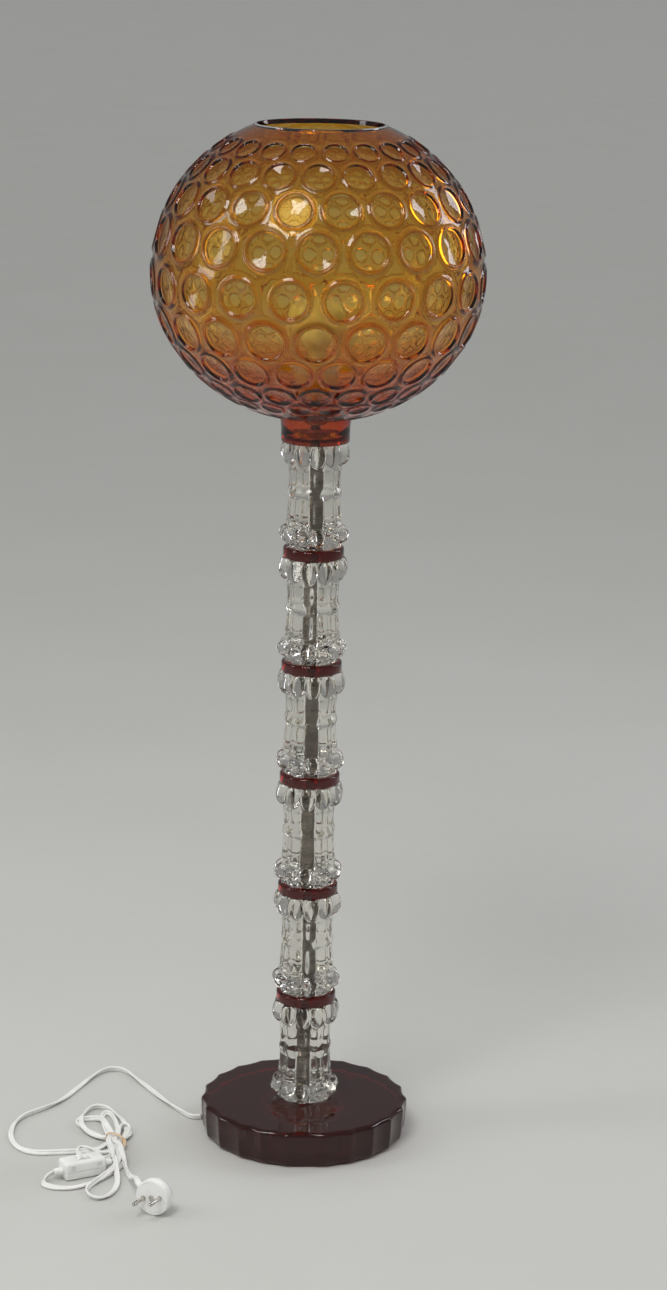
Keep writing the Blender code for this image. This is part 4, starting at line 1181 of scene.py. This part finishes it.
def make_switch():
    place = Matrix.Translation(SWITCH_CENTRE) @ Matrix.Rotation(SWITCH_ANGLE, 4, "Z")
    low, tall = SWITCH_SPLIT - GAP, SWITCH_TALL - SWITCH_SPLIT
    lines = [block((0.0380, 0.0004, 0.0010), (0.0, side * 0.0110, low / 2)) for side in (-1, 1)]
    solid("switch_underside",
          block((SWITCH_LENGTH, SWITCH_WIDTH, low), (0.0, 0.0, low / 2), 0.0026, 4, low),
          place, WHITE_PLASTIC, ("switch_base",), lines)
    slits = [block((0.0008, 0.0016, 0.0050), (side * 0.0140 + step * 0.0018, edge * 0.0111, 0.0125))
             for side in (-1, 1) for step in (-1, 0, 1) for edge in (-1, 1)]
    pocket = block((2 * ROCKER_RADIUS + 0.0012, ROCKER_WIDTH + 0.0008, 0.0200),
                   (0.0, 0.0, ROCKER_HEIGHT - ROCKER_RADIUS - 0.0003 + 0.0100))
    rim = block((2 * ROCKER_RADIUS + 0.0040, ROCKER_WIDTH + 0.0036, 0.0010), (0.0, 0.0, SWITCH_TALL),
                0.0004)
    solid("switch_top", block((SWITCH_LENGTH, SWITCH_WIDTH, tall), (0.0, 0.0, SWITCH_SPLIT + tall / 2),
                              0.0030, 5, SWITCH_SPLIT),
          place, WHITE_PLASTIC, ("switch_cover",), [pocket, rim, *slits])
    button = round_block((ROCKER_RADIUS, ROCKER_RADIUS), ROCKER_WIDTH, 72,
                         Matrix.Rotation(math.pi / 2, 4, "X"))
    for vertex in button.verts:
        vertex.co.z = min(vertex.co.z, 0.0042 + 0.22 * abs(vertex.co.x))
    rest = place @ Matrix.Translation((0.0, 0.0, ROCKER_HEIGHT)) @ Matrix.Rotation(ROCKER_REST, 4, "Y")
    grooves = [block((0.0004, 0.0056, 0.0010), (side * (0.0030 + 0.0009 * step), 0.0, 0.0050))
               for side in (-1, 1) for step in (0, 1, 2)]
    solid("rocker_button", button, rest, WHITE_PLASTIC, ("switch_rocker",), grooves, 20.0, "rocker")
    profile = [(0.0020, 0.0)]
    for rib in range(5):
        wide, start = 0.0046 - 0.0010 * rib / 4, 0.0018 * rib
        profile += [(wide, start), (wide, start + 0.0010), (wide - 0.0006, start + 0.0012),
                    (wide - 0.0006, start + 0.0016)]
    profile += [(0.0020, 0.0088)]
    for side, name in ((1, "sleeve_right"), (-1, "sleeve_left")):
        end = (side * (SWITCH_LENGTH / 2 + GAP), 0.0, SWITCH_SLEEVE_HEIGHT)
        turned("cord_" + name, profile, 40, WHITE_PLASTIC, ("switch_" + name,), sharp=40.0,
               place=place @ Matrix.Translation(end) @ Matrix.Rotation(side * math.pi / 2, 4, "Y"))


def make_plug():
    place = Matrix.Translation(PLUG_CENTRE) @ plug_rotation().to_4x4()
    back = place @ Matrix.Translation((0.0, 0.0, -PLUG_FRONT - GAP)) @ Matrix.Rotation(math.pi, 4, "X")
    rim = PLUG_RADIUS
    turned("plug_front", [
        (0.0, -PLUG_FRONT), (rim - 0.0006, -PLUG_FRONT), (rim, -PLUG_FRONT + 0.0006), (rim, -0.0009),
        (rim - 0.0003, -0.0003), (rim - 0.0010, 0.0), (rim - 0.0022, 0.0), (rim - 0.0024, -0.0004),
        (rim - 0.0030, -0.0004), (rim - 0.0032, 0.0), (0.0, 0.0)],
        96, WHITE_PLASTIC, ("plug_face",), closed=False, place=place)
    turned("plug_back", [
        (0.0, 0.0), (rim - 0.0006, 0.0), (rim, 0.0006), (rim, 0.0034), (rim - 0.0004, 0.0046),
        (0.0158, 0.0094), (0.0150, 0.0102), (0.0108, 0.0112), (0.0092, 0.0118), (0.0086, 0.0128),
        (0.0083, 0.0142), (0.0075, 0.0149), (0.0062, 0.0150), (0.0058, 0.0143), (0.0, 0.0143)],
        96, WHITE_PLASTIC, ("plug_cover",), closed=False, place=back)
    pin = [(0.0, GAP), (0.0026, GAP), (0.0026, 0.0010), (PIN_RADIUS, 0.0012),
           (PIN_RADIUS, PIN_LENGTH - 0.0016), (0.0018, PIN_LENGTH - 0.0007), (0.0012, PIN_LENGTH),
           (0.0, PIN_LENGTH + GAP)]
    for side, name in ((-1, "left"), (1, "right")):
        spot = Vector((math.cos(PIN_TILT), math.sin(PIN_TILT), 0.0)) * side * PIN_OFFSET
        turned("plug_prong_" + name, pin, 32, NICKEL, ("plug_pin_" + name,), closed=False,
               place=place @ Matrix.Translation(spot))
    solid("plug_screw_head",
          round_block((0.0030, 0.0027), 0.0012, 40, Matrix.Translation((0.0, 0.0, GAP + 0.0006))),
          place, NICKEL, ("plug_screw",), [block((0.0008, 0.0080, 0.0010), (0.0, 0.0, GAP + 0.0012))])
    line = smooth_route(plug_entry_bend()[:-1], 0.0004)
    section = [(math.cos(2 * math.pi * k / SIDES), math.sin(2 * math.pi * k / SIDES))
               for k in range(SIDES)]
    sizes = [0.0035 - 0.0004 * smooth_step(np.array(math.cos(index * 1.1) * 2.0))
             - 0.0004 * index / len(line) for index in range(len(line))]
    swept("plug_boot", line, section, [0.0] * len(line), WHITE_PLASTIC, ("plug_sleeve",), sizes)


make_band()
make_switch()
make_plug()

# ---------------------------------------------------------------- finishes on the hidden CAD parts
HIDDEN_LOOKS = {
    "base_felt": FELT, "base_washer": STEEL, "base_nut": STEEL, "cord_gland": RUBBER,
    "inner_wires": INSULATION, "neck_washer": BRASS, "neck_nut": BRASS, "holder_insert": PORCELAIN,
    "holder_screw_shell": NICKEL, "holder_centre_contact": BRASS, "holder_terminal_live": BRASS,
    "holder_terminal_neutral": BRASS,
}
for node_name, hidden_look in HIDDEN_LOOKS.items():
    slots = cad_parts[node_name].data.materials
    for slot_index in range(len(slots)):
        slots[slot_index] = hidden_look


# ---------------------------------------------------------------- floor and light
FLOOR = [(-40, -36, 0), (40, -36, 0), (40, 40, 0), (-40, 40, 0)]
FILL_RADIANCE = 0.36
WORLD_STRENGTH = 0.25
# Soft boxes seen in the glass: (place, target, size, radiance, colour)
SOFT_BOXES = {
    "key": ((-0.75, -1.5, 2.7), (0.0, 0.0, 0.7), (1.1, 1.1), 10.0, (1.0, 0.985, 0.96)),
    "left": ((-2.1, -0.4, 1.4), (0.0, 0.0, 0.8), (0.5, 1.6), 4.0, (1.0, 1.0, 1.0)),
    "right": ((1.9, 0.9, 1.6), (0.0, 0.0, 0.8), (0.5, 1.4), 5.0, (0.90, 0.90, 1.0)),
}


def soft_light(name, place, target, size, radiance, colour, seen=True):
    """A flat rectangular lamp; an unseen one lights the floor but doesn't show in the glass."""
    data = bpy.data.lights.new(name, "AREA")
    data.shape = "RECTANGLE"
    data.size, data.size_y = size
    data.energy = radiance * math.pi * size[0] * size[1]
    data.color = colour
    lamp = placed(name, data)
    lamp.location = place
    lamp.rotation_euler = (Vector(target) - Vector(place)).to_track_quat("-Z", "Y").to_euler()
    lamp.visible_glossy = lamp.visible_transmission = seen


def studio():
    floor_mesh = bpy.data.meshes.new("floor")
    floor_mesh.from_pydata(FLOOR, [], [(0, 1, 2, 3)])
    placed("floor", floor_mesh)
    look = Look("floor")
    look.tint(look.noise(3.0), [(0.3, (0.535, 0.537, 0.510)), (0.7, (0.550, 0.552, 0.528))])
    look.roughness(look.noise(40.0), 0.55, 0.65)
    floor_mesh.materials.append(look.material)
    world = bpy.data.worlds.new("world")
    bpy.context.scene.world = world
    world.use_nodes = True
    background = world.node_tree.nodes["Background"]
    background.inputs["Color"].default_value = (0.98, 0.99, 1.0, 1.0)
    background.inputs["Strength"].default_value = WORLD_STRENGTH
    soft_light("fill", (0.0, 6.0, 9.0), (0.0, 6.0, 0.0), (70.0, 70.0), FILL_RADIANCE, (1.0, 1.0, 0.99),
               seen=False)
    for name, words in SOFT_BOXES.items():
        soft_light(name, *words)
    bpy.context.scene.view_settings.view_transform = "Standard"


studio()
